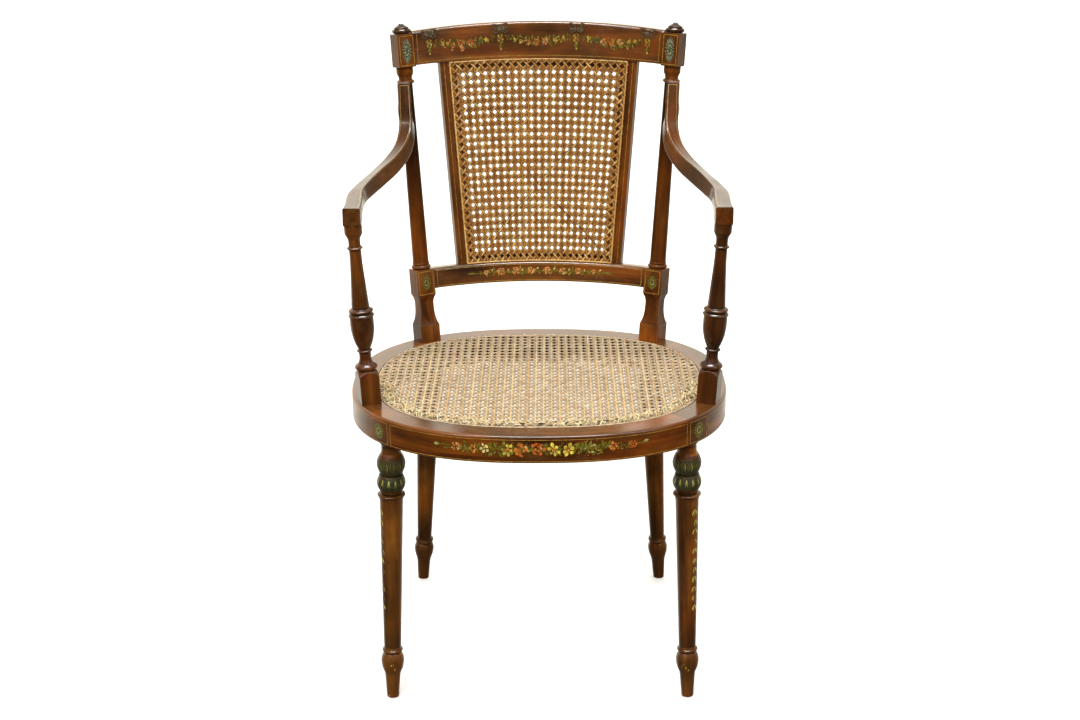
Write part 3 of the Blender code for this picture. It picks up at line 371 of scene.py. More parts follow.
def smooth_path(points, per_span):
    """Points of a curve that passes through all of the given points."""
    path = []
    for k in range(len(points) - 1):
        before = points[max(k - 1, 0)]
        start = points[k]
        end = points[k + 1]
        after = points[min(k + 2, len(points) - 1)]
        for j in range(per_span):
            t = j / per_span
            path.append(0.5 * (2 * start + (end - before) * t
                               + (2 * before - 5 * start + 4 * end - after) * t ** 2
                               + (3 * start - before - 3 * end + after) * t ** 3))
    path.append(points[-1])
    return path


def curve(*points):
    """Smooth stretch of a turned outline through (height, radius) points."""
    path = smooth_path([Vector(point) for point in points], CURVE_STEPS)
    return [tuple(point) for point in path]


def swell(start, end, start_radius, peak_radius, end_radius, count):
    """Rounded bulge of a turned outline between two heights."""
    bulge = peak_radius - (start_radius + end_radius) / 2
    rows = []
    for share in shares(count):
        radius = between(start_radius, end_radius, share) + bulge * math.sin(math.pi * share)
        rows.append((between(start, end, share), radius))
    return rows


def rounded_corner(corner, first, second, radius):
    """Arc at a corner of a section, from the side towards first to the side towards second."""
    corner = Vector(corner)
    inward = (Vector(first) - corner).normalized() * radius
    onward = (Vector(second) - corner).normalized() * radius
    arc = []
    for share in shares(ROUND_STEPS):
        c, s = circle(90 * share)
        arc.append(tuple(corner + inward * (1 - s) + onward * (1 - c)))
    return arc


def rounded_section(corners):
    """Closed section from (a, b, radius) corners that are all square."""
    section = []
    for k, (a, b, radius) in enumerate(corners):
        before = corners[k - 1][:2]
        after = corners[(k + 1) % len(corners)][:2]
        section += rounded_corner((a, b), before, after, radius)
    return section


def frame_along(start, axis, across=Vector((1, 0, 0))):
    """Matrix at start with Z along axis and X as near as it can be to across."""
    up = Vector(axis).normalized()
    side = (across - up * across.dot(up)).normalized()
    depth = up.cross(side)
    matrix = Matrix((side, depth, up)).transposed().to_4x4()
    matrix.translation = start
    return matrix


# Places on the seat ring

def oval(angle, inset, height):
    """Point of the seat's outline at an angle in degrees, moved in along its normal."""
    power = 2.0 / SEAT_SQUARENESS
    c, s = circle(angle)
    normal = oval_normal(angle)
    return Vector((SEAT_HALF_WIDTH * signed_power(c, power) - normal.x * inset,
                   SEAT_CENTRE_Y + SEAT_HALF_DEPTH * signed_power(s, power) - normal.y * inset, height))


def oval_normal(angle):
    power = 2.0 - 2.0 / SEAT_SQUARENESS
    c, s = circle(angle)
    return Vector((signed_power(c, power) / SEAT_HALF_WIDTH, signed_power(s, power) / SEAT_HALF_DEPTH,
                   0.0)).normalized()


def arc_table():
    """Lengths along the outside of the ring, from the middle of its front to its back."""
    lengths = [0.0]
    last = oval(-90.0, 0, 0)
    for k in range(1, int(180 / ARC_STEP) + 1):
        point = oval(-90.0 + k * ARC_STEP, 0, 0)
        lengths.append(lengths[-1] + (point - last).length)
        last = point
    return lengths


ARCS = arc_table()


def arc_length(angle):
    """Length along the outside from the middle of the front to an angle on the right."""
    return ARCS[round((angle + 90.0) / ARC_STEP)]


def seat_face(u, v, lift):
    """Outer face of the ring: u runs from the middle of the front to the right, v up from the underside."""
    after, share = find(ARCS, abs(u))
    angle = math.copysign((after - 1 + share) * ARC_STEP, u) - 90.0
    return oval(angle, -lift, UNDER_SEAT + v)


# Places on the bowed back: turn is the angle round the bow, height runs up the rake

POST_BASE = oval(POST_ANGLE, POST_INSET, SEAT_HEIGHT)
WHOLE_TURN = math.radians(POST_TURN)
BACK_MATRIX = (Matrix.Translation((0, POST_BASE.y, SEAT_HEIGHT))
               @ Matrix.Rotation(-math.radians(BACK_RAKE), 4, "X"))


def post_x(height):
    return POST_BASE.x + POST_LEAN * height


def bow_radius(height):
    return post_x(height) / math.sin(WHOLE_TURN)


def back_point(turn, height, forward):
    radius = bow_radius(height)
    middle = radius * math.cos(WHOLE_TURN)
    reach = radius - forward
    return BACK_MATRIX @ Vector((reach * math.sin(turn), reach * math.cos(turn) - middle, height))


def arch(turn):
    """1 in the middle of the back and 0 at the posts."""
    return 1.0 - (turn / WHOLE_TURN) ** 2


def crest_bottom(turn):
    return CREST_BOTTOM + CREST_BOTTOM_RISE * arch(turn)


def crest_top(turn):
    return CREST_BOTTOM + CREST_HEIGHT + CREST_TOP_RISE * arch(turn)


def lower_bottom(turn):
    return LOWER_RAIL_BOTTOM + LOWER_RAIL_RISE * arch(turn)


def lower_top(turn):
    return lower_bottom(turn) + LOWER_RAIL_HEIGHT


def rail_face(bottom, top, height):
    """Front face of a back rail: u runs to the right of its middle, v from 0 to its height at the ends."""
    reach = bow_radius(bottom(WHOLE_TURN) + height / 2) - BACK_RAIL_THICKNESS / 2

    def surface(u, v, lift):
        turn = u / reach
        level = between(bottom(turn), top(turn), v / height)
        return back_point(turn, level, BACK_RAIL_THICKNESS / 2 + lift)

    return surface


def stile_turn(height, across):
    """Turn of a line on a stile, across its width from the middle towards the outside."""
    share = (height - lower_top(0)) / (CREST_BOTTOM - lower_top(0))
    inset = between(STILE_FOOT_INSET, STILE_HEAD_INSET, share)
    return math.asin((post_x(height) - inset + across) / bow_radius(height))


ABOUT_STILE = stile_turn((CREST_BOTTOM + lower_top(0)) / 2, 0)


def stile_face(side):
    """Front face of a stile: u runs outward from its middle, v is the height along the back."""
    def surface(u, v, lift):
        return back_point(side * stile_turn(v, u), v, STILE_FRONT + lift)

    return surface


def cane_point(across, up, forward, margin=0.0):
    """Point of the back's cane; across runs from -1 to 1 and up from 0 to 1."""
    near = across * ABOUT_STILE
    height = between(lower_top(near) + margin, crest_bottom(near) - margin, up)
    limit = stile_turn(height, CANE_LAP - STILE_WIDTH / 2) - margin / bow_radius(height)
    return back_point(across * limit, height, forward)


def standing(foot, side, turn, lean):
    """Frame of an upright with its foot on the right, or of its mirror image: Z up, Y to its back."""
    c, s = circle(turn * side)
    return frame_along(foot * Vector((side, 1, 1)), (side * lean, 0, 1), Vector((c, -s, 0)))


def post_matrix(side):
    return BACK_MATRIX @ standing(Vector((POST_BASE.x, 0, 0)), side, POST_TURN, POST_LEAN)


def column_radius(height):
    start = LOWER_BLOCK_TOP + COLUMN_COLLAR_HEIGHT
    share = (height - start) / (CREST_BLOCK_BOTTOM - NECK_LENGTH - start)
    return between(COLUMN_FOOT_RADIUS, COLUMN_HEAD_RADIUS, share)


def block_face(matrix, side):
    """Front face of a square block: u runs along the block's X axis, v up its Z axis."""
    def surface(u, v, lift):
        return matrix @ Vector((u, -side / 2 - lift, v))

    return surface


def support_matrix(side):
    return standing(oval(-SUPPORT_ANGLE, SUPPORT_INSET, SEAT_HEIGHT), side, SUPPORT_TURN, SUPPORT_LEAN)


# Pieces

def add_piece(name, mesh, material, nodes):
    made = bpy.data.objects.new(name, mesh)
    bpy.context.scene.collection.objects.link(made)
    mesh.materials.append(material)
    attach(made, "root")
    if nodes:
        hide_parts(*nodes)
    return made


def bend(corner):
    """How the surface bends at a corner: above 0 on outer edges, below 0 in hollows."""
    total = 0.0
    for side in corner.link_edges:
        step = side.other_vert(corner).co - corner.co
        total -= 2 * step.dot(corner.normal) / max(step.length_squared, 1e-10)
    return max(-1.0, min(1.0, total / len(corner.link_edges) / EDGE_BEND))


def wooden(node, stations, material, shaded_beyond=WIDE):
    """Wooden piece in place of a node, over stations that are closed loops of (point, place in the grain).

    The wood is painted black, as painted shade, where the first value of the place is above the given limit.
    """
    bm = bmesh.new()
    grain = bm.verts.layers.float_vector.new("grain")
    edge = bm.verts.layers.float.new("edge")
    shift = Vector((chance.uniform(0, 9), chance.uniform(0, 9), chance.uniform(0, 9)))
    rows = []
    black = set()
    for station in stations:
        row = []
        for point, place in station:
            corner = bm.verts.new(point)
            corner[grain] = Vector(place) + shift
            row.append(corner)
            if place[0] > shaded_beyond:
                black.add(corner)
        rows.append(row)
    for first, second in zip(rows, rows[1:]):
        for k in range(len(first)):
            after = (k + 1) % len(first)
            bm.faces.new((first[k], first[after], second[after], second[k]))
    bm.faces.new(rows[0][::-1])
    bm.faces.new(rows[-1])
    bmesh.ops.recalc_face_normals(bm, faces=bm.faces)
    bm.normal_update()
    # Bend at each corner gives worn edges and painted shade in hollows; -1 paints the wood black as shade
    for corner in bm.verts:
        corner[edge] = -1.0 if corner in black else bend(corner)
    name = "fine_" + node
    mesh = bpy.data.meshes.new(name)
    bm.to_mesh(mesh)
    bm.free()
    mesh.shade_smooth()
    mesh.set_sharp_from_angle(angle=math.radians(SMOOTH_ANGLE))
    made = add_piece(name, mesh, material, (node,))
    made.modifiers.new("flat_faces", "WEIGHTED_NORMAL").keep_sharp = True


def towards(start, end, distance):
    return start + (end - start).normalized() * distance


def eased_ends(stations, ease=END_EASE):
    """Takes the sharp edge off both ends of a piece."""
    ends = []
    for here, inward in ((stations[0], stations[1]), (stations[-1], stations[-2])):
        centre = sum((point for point, _ in here), Vector()) / len(here)
        flat = [(towards(point, centre, ease), place) for point, place in here]
        full = [(towards(point, other, ease), place) for (point, place), (other, _) in zip(here, inward)]
        ends.append((flat, full))
    return [*ends[0], *stations[1:-1], *ends[1][::-1]]


def rounded_square(c, s, half, corner):
    """Distance from the middle to the edge of a square with round corners, in a direction."""
    near = max(abs(c), abs(s))
    far = min(abs(c), abs(s))
    if half * far / near <= half - corner:
        return half / near
    middle = (half - corner) * (near + far)
    return middle + math.sqrt(middle ** 2 - 2 * (half - corner) ** 2 + corner ** 2)


def ring_angles():
    """Angles round a square post, close together at its corners."""
    angles = []
    for corner in (45, 135, 225, 315):
        angles += [math.radians(corner + offset) for offset in CORNER_OFFSETS]
        angles += [math.radians(corner - offset) for offset in CORNER_OFFSETS[:-1]]
    return sorted(angles)


SQUARE_ANGLES = ring_angles()
ROUND_ANGLES = [math.tau * k / TURNED_STEPS for k in range(TURNED_STEPS)]


def turned(node, outline, matrix, material, angles=ROUND_ANGLES):
    """Piece from rows of (height, radius) or (height, radius, half side), where a round cuts the square."""
    stations = []
    for height, radius, *half in outline:
        station = []
        for angle in angles:
            c = math.cos(angle)
            s = math.sin(angle)
            reach = min(radius, rounded_square(c, s, half[0], BLOCK_CORNER)) if half else radius
            place = Vector((reach * c, reach * s, height))
            point = matrix @ place
            point.z = max(point.z, 0.0)
            station.append((point, place))
        stations.append(station)
    wooden(node, stations, material)


# Materials

def add_node(tree, kind, settings=None, inputs=None):
    """Node with its settings, and inputs that are values or other nodes' outputs."""
    made = tree.nodes.new(kind)
    for key, value in (settings or {}).items():
        setattr(made, key, value)
    for key, value in (inputs or {}).items():
        if isinstance(value, bpy.types.NodeSocket):
            tree.links.new(value, made.inputs[key])
        else:
            made.inputs[key].default_value = value
    return made


def new_material(name):
    made = bpy.data.materials.new(name)
    made.use_nodes = True
    return made.node_tree, made.node_tree.nodes["Principled BSDF"], made


def noise(tree, place, across, along, detail, roughness, distortion=0.0):
    """Noise with its own scales across and along the grain."""
    scale = (across, across, along)
    stretched = add_node(tree, "ShaderNodeVectorMath", {"operation": "MULTIPLY"}, {0: place, 1: scale})
    made = add_node(tree, "ShaderNodeTexNoise", None, {
        "Vector": stretched.outputs[0], "Scale": 1.0, "Detail": detail, "Roughness": roughness,
        "Distortion": distortion})
    return made.outputs["Fac"]


def ramp(tree, value, *stops):
    """Colour ramp from (position, colour) stops."""
    made = add_node(tree, "ShaderNodeValToRGB", None, {"Fac": value})
    elements = made.color_ramp.elements
    while len(elements) < len(stops):
        elements.new(0.5)
    for element, (position, colour) in zip(elements, stops):
        element.position = position
        element.color = (*colour, 1.0)
    return made.outputs["Color"]


def span(tree, value, low, high, start=0.0, end=1.0):
    """Value moved from the range low to high into the range start to end."""
    made = add_node(tree, "ShaderNodeMapRange", None, {
        "Value": value, "From Min": low, "From Max": high, "To Min": start, "To Max": end})
    return made.outputs["Result"]


def mix(tree, share, first, second, method="MIX"):
    made = add_node(tree, "ShaderNodeMix", {"data_type": "RGBA", "blend_type": method})
    for key, value in ((0, share), (6, first), (7, second)):
        if isinstance(value, bpy.types.NodeSocket):
            tree.links.new(value, made.inputs[key])
        else:
            made.inputs[key].default_value = value if key == 0 else (*value, 1.0)
    return made.outputs[2]


def math_node(tree, operation, first, second):
    return add_node(tree, "ShaderNodeMath", {"operation": operation}, {0: first, 1: second}).outputs[0]


def attribute(tree, name, kind):
    return add_node(tree, "ShaderNodeAttribute", {"attribute_name": name}).outputs[kind]


def object_place(tree):
    return add_node(tree, "ShaderNodeTexCoord").outputs["Object"]


def grain_place(tree):
    return attribute(tree, "grain", "Vector")


def finish(tree, shader, colour, gloss, relief, polish):
    """Sets colour, roughness, relief as (height, strength, depth) and refractive index of a shader."""
    height, strength, depth = relief
    bump = add_node(tree, "ShaderNodeBump", None, {"Strength": strength, "Distance": depth, "Height": height})
    tree.links.new(colour, shader.inputs["Base Color"])
    tree.links.new(gloss, shader.inputs["Roughness"])
    tree.links.new(bump.outputs["Normal"], shader.inputs["Normal"])
    shader.inputs["IOR"].default_value = polish


def wood_material(name, tone=(1.0, 1.0, 1.0), polish=1.38, top_light=0.0, low_dark=0.0, place_of=grain_place):
    """Dark reddish-brown wood with streaks, pores, worn edges and painted shade in its hollows, times a tone.

    The polish is a refractive index, higher where the wood mirrors more. The value after it is how far faces
    that look up are painted lighter, as painted light from above, and the next how far the wood gets darker
    near the floor.
    """
    tree, shader, made = new_material(name)
    place = place_of(tree)
    figure = noise(tree, place, 30.0, 3.4, 4.0, 0.55, 0.8)
    streak = noise(tree, place, 210.0, 7.0, 6.0, 0.62)
    pore = noise(tree, place, 900.0, 36.0, 2.0, 0.5)
    patch = noise(tree, place, 17.0, 11.0, 4.0, 0.55)
    rubbing = noise(tree, place, 26.0, 17.0, 4.0, 0.6)
    edge = attribute(tree, "edge", "Fac")
    geometry = add_node(tree, "ShaderNodeNewGeometry")
    upward = add_node(tree, "ShaderNodeSeparateXYZ", None, {0: geometry.outputs["Normal"]}).outputs["Z"]
    height = add_node(tree, "ShaderNodeSeparateXYZ", None, {0: geometry.outputs["Position"]}).outputs["Z"]
    grain = math_node(tree, "ADD", math_node(tree, "MULTIPLY", figure, 0.78),
                      math_node(tree, "MULTIPLY", streak, 0.22))
    toned = mix(tree, 1.0, ramp(tree, grain, *GRAIN), tone, "MULTIPLY")
    colour = mix(tree, 1.0, toned, ramp(tree, patch, *PATCHES), "MULTIPLY")
    chipping = math_node(tree, "MULTIPLY", span(tree, edge, 0.30, 0.95),
                         span(tree, rubbing, 0.44, 0.66, 0.0, 0.42))
    # Darker near the floor, painted light on faces that look up, rubbed patches, pores, chipped edges, and
    # painted shade in hollows and on the step under the cane
    for share, change in ((span(tree, height, 0.130, 0.020, 0.0, low_dark), LOW_DARK_WOOD),
                          (span(tree, upward, 0.5, 0.95, 0.0, top_light), TOP_LIGHT_WOOD),
                          (span(tree, rubbing, 0.56, 0.74, 0.0, 0.32), RUBBED_WOOD),
                          (span(tree, pore, 0.60, 0.70, 0.0, 0.35), PORES),
                          (chipping, CHIPPED_WOOD),
                          (span(tree, edge, -0.10, -0.75, 0.0, 0.88), PAINTED_SHADE_WOOD)):
        colour = mix(tree, share, colour, change)
    gloss = math_node(tree, "ADD", span(tree, rubbing, 0.3, 0.7, 0.14, 0.28),
                      span(tree, streak, 0.3, 0.7, -0.02, 0.04))
    relief = math_node(tree, "SUBTRACT", math_node(tree, "MULTIPLY", streak, 0.5),
                       span(tree, pore, 0.58, 0.72))
    finish(tree, shader, colour, gloss, (relief, 0.06, 0.0006), polish)
    return made


def cane_material(name):
    """Split cane: each strand has its own tint, with a sheen, fine fibres and darker patches."""
    tree, shader, made = new_material(name)
    place = object_place(tree)
    mottle = noise(tree, place, 70.0, 70.0, 3.0, 0.55)
    fibre = noise(tree, place, 1900.0, 1900.0, 2.0, 0.6)
    aged = mix(tree, span(tree, mottle, 0.42, 0.72, 0.0, 0.70), attribute(tree, "tint", "Color"),
               (0.66, 0.52, 0.36), "MULTIPLY")
    uneven = ramp(tree, fibre, (0.34, (0.70, 0.68, 0.64)), (0.68, (1.22, 1.22, 1.20)))
    finish(tree, shader, mix(tree, 1.0, aged, uneven, "MULTIPLY"), span(tree, mottle, 0.3, 0.7, 0.36, 0.56),
           (fibre, 0.20, 0.0003), CANE_IOR)
    return made


def paint_material(name, fade):
    """Old paint: the stroke's tint, uneven in thickness and rubbed through to the wood in places."""
    tree, shader, made = new_material(name)
    place = object_place(tree)
    brush = noise(tree, place, 620.0, 620.0, 3.0, 0.6)
    rub = noise(tree, place, 95.0, 95.0, 5.0, 0.65)
    uneven = mix(tree, span(tree, brush, 0.35, 0.70), (1.18, 1.15, 1.08), (0.62, 0.60, 0.58))
    thick = mix(tree, 1.0, attribute(tree, "tint", "Color"), uneven, "MULTIPLY")
    rubbed = mix(tree, span(tree, rub, 0.52, 0.74, 0.0, fade), thick, BROWN)
    finish(tree, shader, rubbed, span(tree, brush, 0.3, 0.7, 0.24, 0.40), (brush, 0.25, 0.0003), PAINT_IOR)
    return made


def floor_material(name):
    tree, shader, made = new_material(name)
    cloud = noise(tree, object_place(tree), 0.9, 0.9, 3.0, 0.5)
    tree.links.new(ramp(tree, cloud, (0.3, (0.93, 0.93, 0.94)), (0.7, (0.96, 0.96, 0.97))),
                   shader.inputs["Base Color"])
    shader.inputs["Roughness"].default_value = 0.8
    return made


# After the name: tone, polish, how far faces that look up are painted lighter as light from above, and how
# far the wood gets darker near the floor
WOOD = wood_material("polished_wood")
RING_WOOD = wood_material("seat_ring_wood", (1.14, 1.08, 0.80), 1.42, 0.30)
CREST_WOOD = wood_material("crest_wood", (0.92, 0.98, 1.0), 1.58, 0.8)
POST_WOOD = wood_material("post_wood", (1.22, 1.26, 1.50), 1.22, 0.2)
LEG_WOOD = wood_material("leg_wood", (1.34, 1.62, 2.10), 1.42, 0.0, 0.3)
REAR_LEG_WOOD = wood_material("rear_leg_wood", (0.94, 1.10, 1.60), 1.26, 0.0, 0.5)
SUPPORT_WOOD = wood_material("support_wood", (0.62, 0.66, 0.80), 1.45)
ARM_WOOD = wood_material("arm_wood", (0.58, 0.61, 0.74), 1.38)
DARK_WOOD = wood_material("finial_wood", (0.26, 0.34, 0.60), 1.50)
# Darker copy of the wood, as painted shade, for hidden tongues and dowels and the slats seen through the cane
SHADED_INNER_WOOD = wood_material("shaded_inner_wood", (0.45, 0.48, 0.60), place_of=object_place)
CANE = cane_material("split_cane")
PAINT = paint_material("old_paint", 0.75)
GILDING = paint_material("old_gold_lines", 0.60)


# Wood of the seat ring and legs

def seat_section():
    step = SEAT_HEIGHT - CANE_STEP
    small = RAIL_SMALL_ROUND
    return rounded_section((
        (0.0, UNDER_SEAT, small), (0.0, SEAT_HEIGHT, RAIL_EDGE_ROUND), (RIM_WIDTH, SEAT_HEIGHT, RIM_ROUND),
        (RIM_WIDTH, step, STEP_ROUND), (RAIL_WIDTH, step, RIM_ROUND), (RAIL_WIDTH, UNDER_SEAT, small)))


def build_seat_rail(node, start, end):
    count = max(4, round((end - start) / SEAT_STEP))
    section = seat_section()
    stations = []
    along = 0.0
    last = oval(start, RAIL_WIDTH / 2, 0)
    for share in shares(count):
        angle = between(start, end, share)
        here = oval(angle, RAIL_WIDTH / 2, 0)
        along += (here - last).length
        last = here
        stations.append([(oval(angle, inset, height), (inset, height, along)) for inset, height in section])
    wooden(node, eased_ends(stations, RING_JOINT_EASE), RING_WOOD, RIM_WIDTH + SHADE_MARGIN)


def on_side(side, *angles):
    """Angles on the right half of the oval, or their mirror images on the left, in rising order."""
    return sorted(angle if side > 0 else 180.0 - angle for angle in angles)


def build_seat_ring():
    build_seat_rail("seat_rail_front", FRONT_BLOCK_END - 180.0, -FRONT_BLOCK_END)
    build_seat_rail("seat_rail_back", REAR_JOINT_ANGLE, 180.0 - REAR_JOINT_ANGLE)
    for word, side in SIDES:
        build_seat_rail("front_block_" + word, *on_side(side, -FRONT_BLOCK_END, -FRONT_BLOCK_START))
        build_seat_rail("seat_rail_" + word, *on_side(side, -FRONT_BLOCK_START, REAR_JOINT_ANGLE))


def ankle(shaft, ring, bulb, waist, toe):
    """Outline from the end of the shaft down to the toe."""
    rise = ANKLE_HEIGHT - ANKLE_RING_FLARE
    low = rise - ANKLE_RING_BAND
    top = low - ANKLE_HOLLOW
    return [
        *curve((ANKLE_HEIGHT, shaft), (ANKLE_HEIGHT - 0.0025, shaft + 0.0006), (rise, ring - 0.0004)),
        *swell(rise - 0.0002, low, ring - 0.0004, ring, ring - 0.0006, 5),
        *curve((low - 0.0004, shaft + 0.0006), (low - 0.0022, shaft - 0.0002), (top, shaft + 0.0014)),
        *curve((top - 0.0030, bulb - 0.0014), (top - 0.0085, bulb), (top - 0.0175, bulb - 0.0006),
               (top - 0.0245, bulb - 0.0024), (ANKLE_BULB_FOOT + 0.0025, waist + 0.0008),
               (ANKLE_BULB_FOOT - 0.003, waist)),
        (0.003, toe + 0.0003),
        (0.0008, toe),
        (-FOOT_SPARE, toe - 0.0012),
    ]


def bulb_levels(length):
    """Heights of the top of a front leg's bulbs, of the groove between them and of their foot."""
    top = length - FRONT_NECK_LENGTH
    groove = top - BULB_HEIGHT
    return top, groove, groove - LOWER_BULB_HEIGHT


def front_leg_outline(length):
    top, groove, foot = bulb_levels(length)
    shelf = groove - BULB_GROOVE_HEIGHT
    collar = foot - COLLAR_DROP
    return [
        *curve((length + 0.001, FRONT_CAP_RADIUS), (length - 0.002, FRONT_CAP_RADIUS - 0.0004),
               (length - FRONT_CAP_HEIGHT, FRONT_NECK_RADIUS)),
        (top + 0.003, FRONT_NECK_RADIUS),
        *swell(top, groove, FRONT_NECK_RADIUS, BULB_RADIUS, BULB_WAIST_RADIUS, 18),
        (groove - 0.0003, BULB_GROOVE_RADIUS),
        (shelf + 0.0003, BULB_GROOVE_RADIUS),
        (shelf, LOWER_BULB_SHELF - 0.0006),
        *swell(shelf - 0.0006, foot, LOWER_BULB_SHELF, BULB_RADIUS, BULB_WAIST_RADIUS, 16),
        (collar + 0.0012, BULB_WAIST_RADIUS),
        *curve((collar + 0.0006, BULB_WAIST_RADIUS + 0.0012), (collar, COLLAR_RADIUS - 0.0008),
               (collar - 0.0008, COLLAR_RADIUS)),
        *curve((collar - COLLAR_BAND, COLLAR_RADIUS - 0.0003), (collar - 0.0042, COLLAR_RADIUS - 0.0020),
               (collar - COLLAR_HEIGHT, FRONT_SHAFT_RADIUS)),
        *ankle(*FRONT_ANKLE),
    ]


def rear_leg_outline(length):
    return [(length + 0.002, REAR_LEG_RADIUS), (length * 0.6, REAR_LEG_RADIUS - 0.0026), *ankle(*REAR_ANKLE)]


def leg_place(side, angle, inset, run):
    """Matrix of a leg at its foot and its length, from the ring's underside to the floor."""
    head = oval(angle, inset, UNDER_SEAT) * Vector((side, 1, 1))
    foot = head + Vector((side * run[0], run[1], -UNDER_SEAT))
    return frame_along(foot, head - foot), (head - foot).length


def front_leg_place(side):
    middle = (FRONT_BLOCK_START + FRONT_BLOCK_END) / 2
    return leg_place(side, -middle, FRONT_LEG_INSET, (FRONT_LEG_SPLAY, -FRONT_LEG_ADVANCE))


def build_legs():
    for word, side in SIDES:
        matrix, length = front_leg_place(side)
        turned("front_leg_" + word, front_leg_outline(length), matrix, LEG_WOOD)
        matrix, length = leg_place(side, POST_ANGLE, REAR_LEG_INSET, (REAR_LEG_SPLAY, REAR_LEG_RAKE))
        turned("rear_leg_" + word, rear_leg_outline(length), matrix, REAR_LEG_WOOD)


# Wood of the back

def block_rows(bottom, top, side):
    """Square block with slightly rounded level edges, from the bottom up."""
    half = side / 2
    ease = BLOCK_EASE
    return [(bottom, WIDE, half - ease), (bottom + ease, WIDE, half), (top - ease, WIDE, half),
            (top, WIDE, half - ease)]


def cove(start, end, start_half, end_half):
    """Hollow curve of a square post that leaves its narrow end upright."""
    rows = []
    for share in shares(COVE_STEPS):
        swing = 1 - (1 - share) ** FOOT_FLARE if start_half > end_half else share * share
        rows.append((between(start, end, share), WIDE, between(start_half, end_half, swing)))
    return rows


def post_outline():
    """Square foot, waist and lower block, then a round column with collar and neck, and the crest block."""
    foot = POST_FOOT_SIDE / 2
    waist = POST_WAIST_SIDE / 2
    hollow = LOWER_BLOCK_BOTTOM - BLOCK_COVE
    torus = LOWER_BLOCK_TOP + COLUMN_TORUS_HEIGHT
    band = LOWER_BLOCK_TOP + COLUMN_COLLAR_HEIGHT
    ring_top = CREST_BLOCK_BOTTOM - NECK_LENGTH
    ring_low = ring_top - NECK_RING_HEIGHT
    low = COLUMN_FOOT_RADIUS
    high = COLUMN_HEAD_RADIUS
    return [
        (-SUNK, WIDE, foot),
        (POST_FOOT_TOP - BLOCK_EASE, WIDE, foot),
        *cove(POST_FOOT_TOP, hollow, foot - BLOCK_EASE, waist),
        *cove(hollow + 0.0004, LOWER_BLOCK_BOTTOM - 0.0002, waist, LOWER_BLOCK_SIDE / 2 - BLOCK_EASE),
        *block_rows(LOWER_BLOCK_BOTTOM, LOWER_BLOCK_TOP, LOWER_BLOCK_SIDE),
        *swell(LOWER_BLOCK_TOP + 0.0003, torus, low, COLUMN_COLLAR_RADIUS, low, 10),
        *swell(torus + 0.0005, band - 0.0008, low + 0.0003, COLUMN_BAND_RADIUS, low + 0.0003, 5),
        (band, column_radius(band)),
        (ring_low - 0.0004, column_radius(ring_low)),
        *swell(ring_low, ring_top, high + 0.0003, NECK_RING_RADIUS, high + 0.0003, 8),
        *curve((ring_top + 0.0006, high), (ring_top + 0.004, high + 0.0002),
               (ring_top + 0.008, NECK_RADIUS - 0.0007), (CREST_BLOCK_BOTTOM - NECK_BAND, NECK_RADIUS)),
        (CREST_BLOCK_BOTTOM - 0.0002, NECK_RADIUS),
        *block_rows(CREST_BLOCK_BOTTOM, CREST_BLOCK_TOP, CREST_BLOCK_SIDE),
    ]


def finial_outline():
    """Low turned button with a wide rim and a small tip, from the bottom up."""
    top = FINIAL_HEIGHT
    edge = FINIAL_RADIUS
    return [
        (0.0002, edge - 0.0030),
        (0.0010, edge - 0.0030),
        *swell(0.0012, 0.0068, edge - 0.0016, edge, edge - 0.0012, 8),
        *curve((0.0070, edge - 0.0032), (0.0094, edge - 0.0036), (0.0116, 0.0070), (top - 0.0020, 0.0042)),
        *curve((top - 0.0018, 0.0040), (top - 0.0006, 0.0032), (top, 0.0004)),
    ]


def back_rail_section(bottom, top):
    half = BACK_RAIL_THICKNESS / 2
    low = RAIL_SMALL_ROUND
    return rounded_section(((half, bottom, low), (half, top, BACK_RAIL_ROUND),
                            (-half, top, BACK_RAIL_ROUND), (-half, bottom, low)))


def build_back_rail(node, bottom, top, block_side):
    radius = bow_radius((bottom(WHOLE_TURN) + top(WHOLE_TURN)) / 2)
    end = WHOLE_TURN - block_side / 2 / radius
    stations = []
    for share in shares(BACK_STEPS):
        turn = between(-end, end, share)
        section = back_rail_section(bottom(turn), top(turn))
        stations.append([(back_point(turn, height, forward), (forward, height, turn * radius))
                         for forward, height in section])
    wooden(node, eased_ends(stations), CREST_WOOD)


def build_stile(word, side):
    half = STILE_WIDTH / 2
    back = STILE_FRONT - STILE_THICKNESS
    section = rounded_section(((half, STILE_FRONT, STILE_ROUND), (half, back, STILE_ROUND),
                               (-half, back, STILE_ROUND), (-half, STILE_FRONT, STILE_ROUND)))
    low = lower_top(ABOUT_STILE) - SUNK
    high = crest_bottom(ABOUT_STILE) + SUNK
    stations = []
    for share in shares(STILE_STEPS):
        height = between(low, high, share)
        stations.append([(back_point(side * stile_turn(height, across), height, forward),
                          (across, forward, height)) for across, forward in section])
    wooden("back_stile_" + word, stations, WOOD)


def build_back():
    build_back_rail("crest_rail", crest_bottom, crest_top, CREST_BLOCK_SIDE)
    build_back_rail("lower_back_rail", lower_bottom, lower_top, LOWER_BLOCK_SIDE)
    for word, side in SIDES:
        matrix = post_matrix(side)
        turned("back_post_" + word, post_outline(), matrix, POST_WOOD, SQUARE_ANGLES)
        top = matrix @ Matrix.Translation((0, 0, CREST_BLOCK_TOP))
        turned("finial_" + word, finial_outline(), top, DARK_WOOD)
        build_stile(word, side)


# Wood of the arms

ARM_UNDERSIDE = SEAT_HEIGHT + SUPPORT_TOP / math.sqrt(1 + SUPPORT_LEAN ** 2)


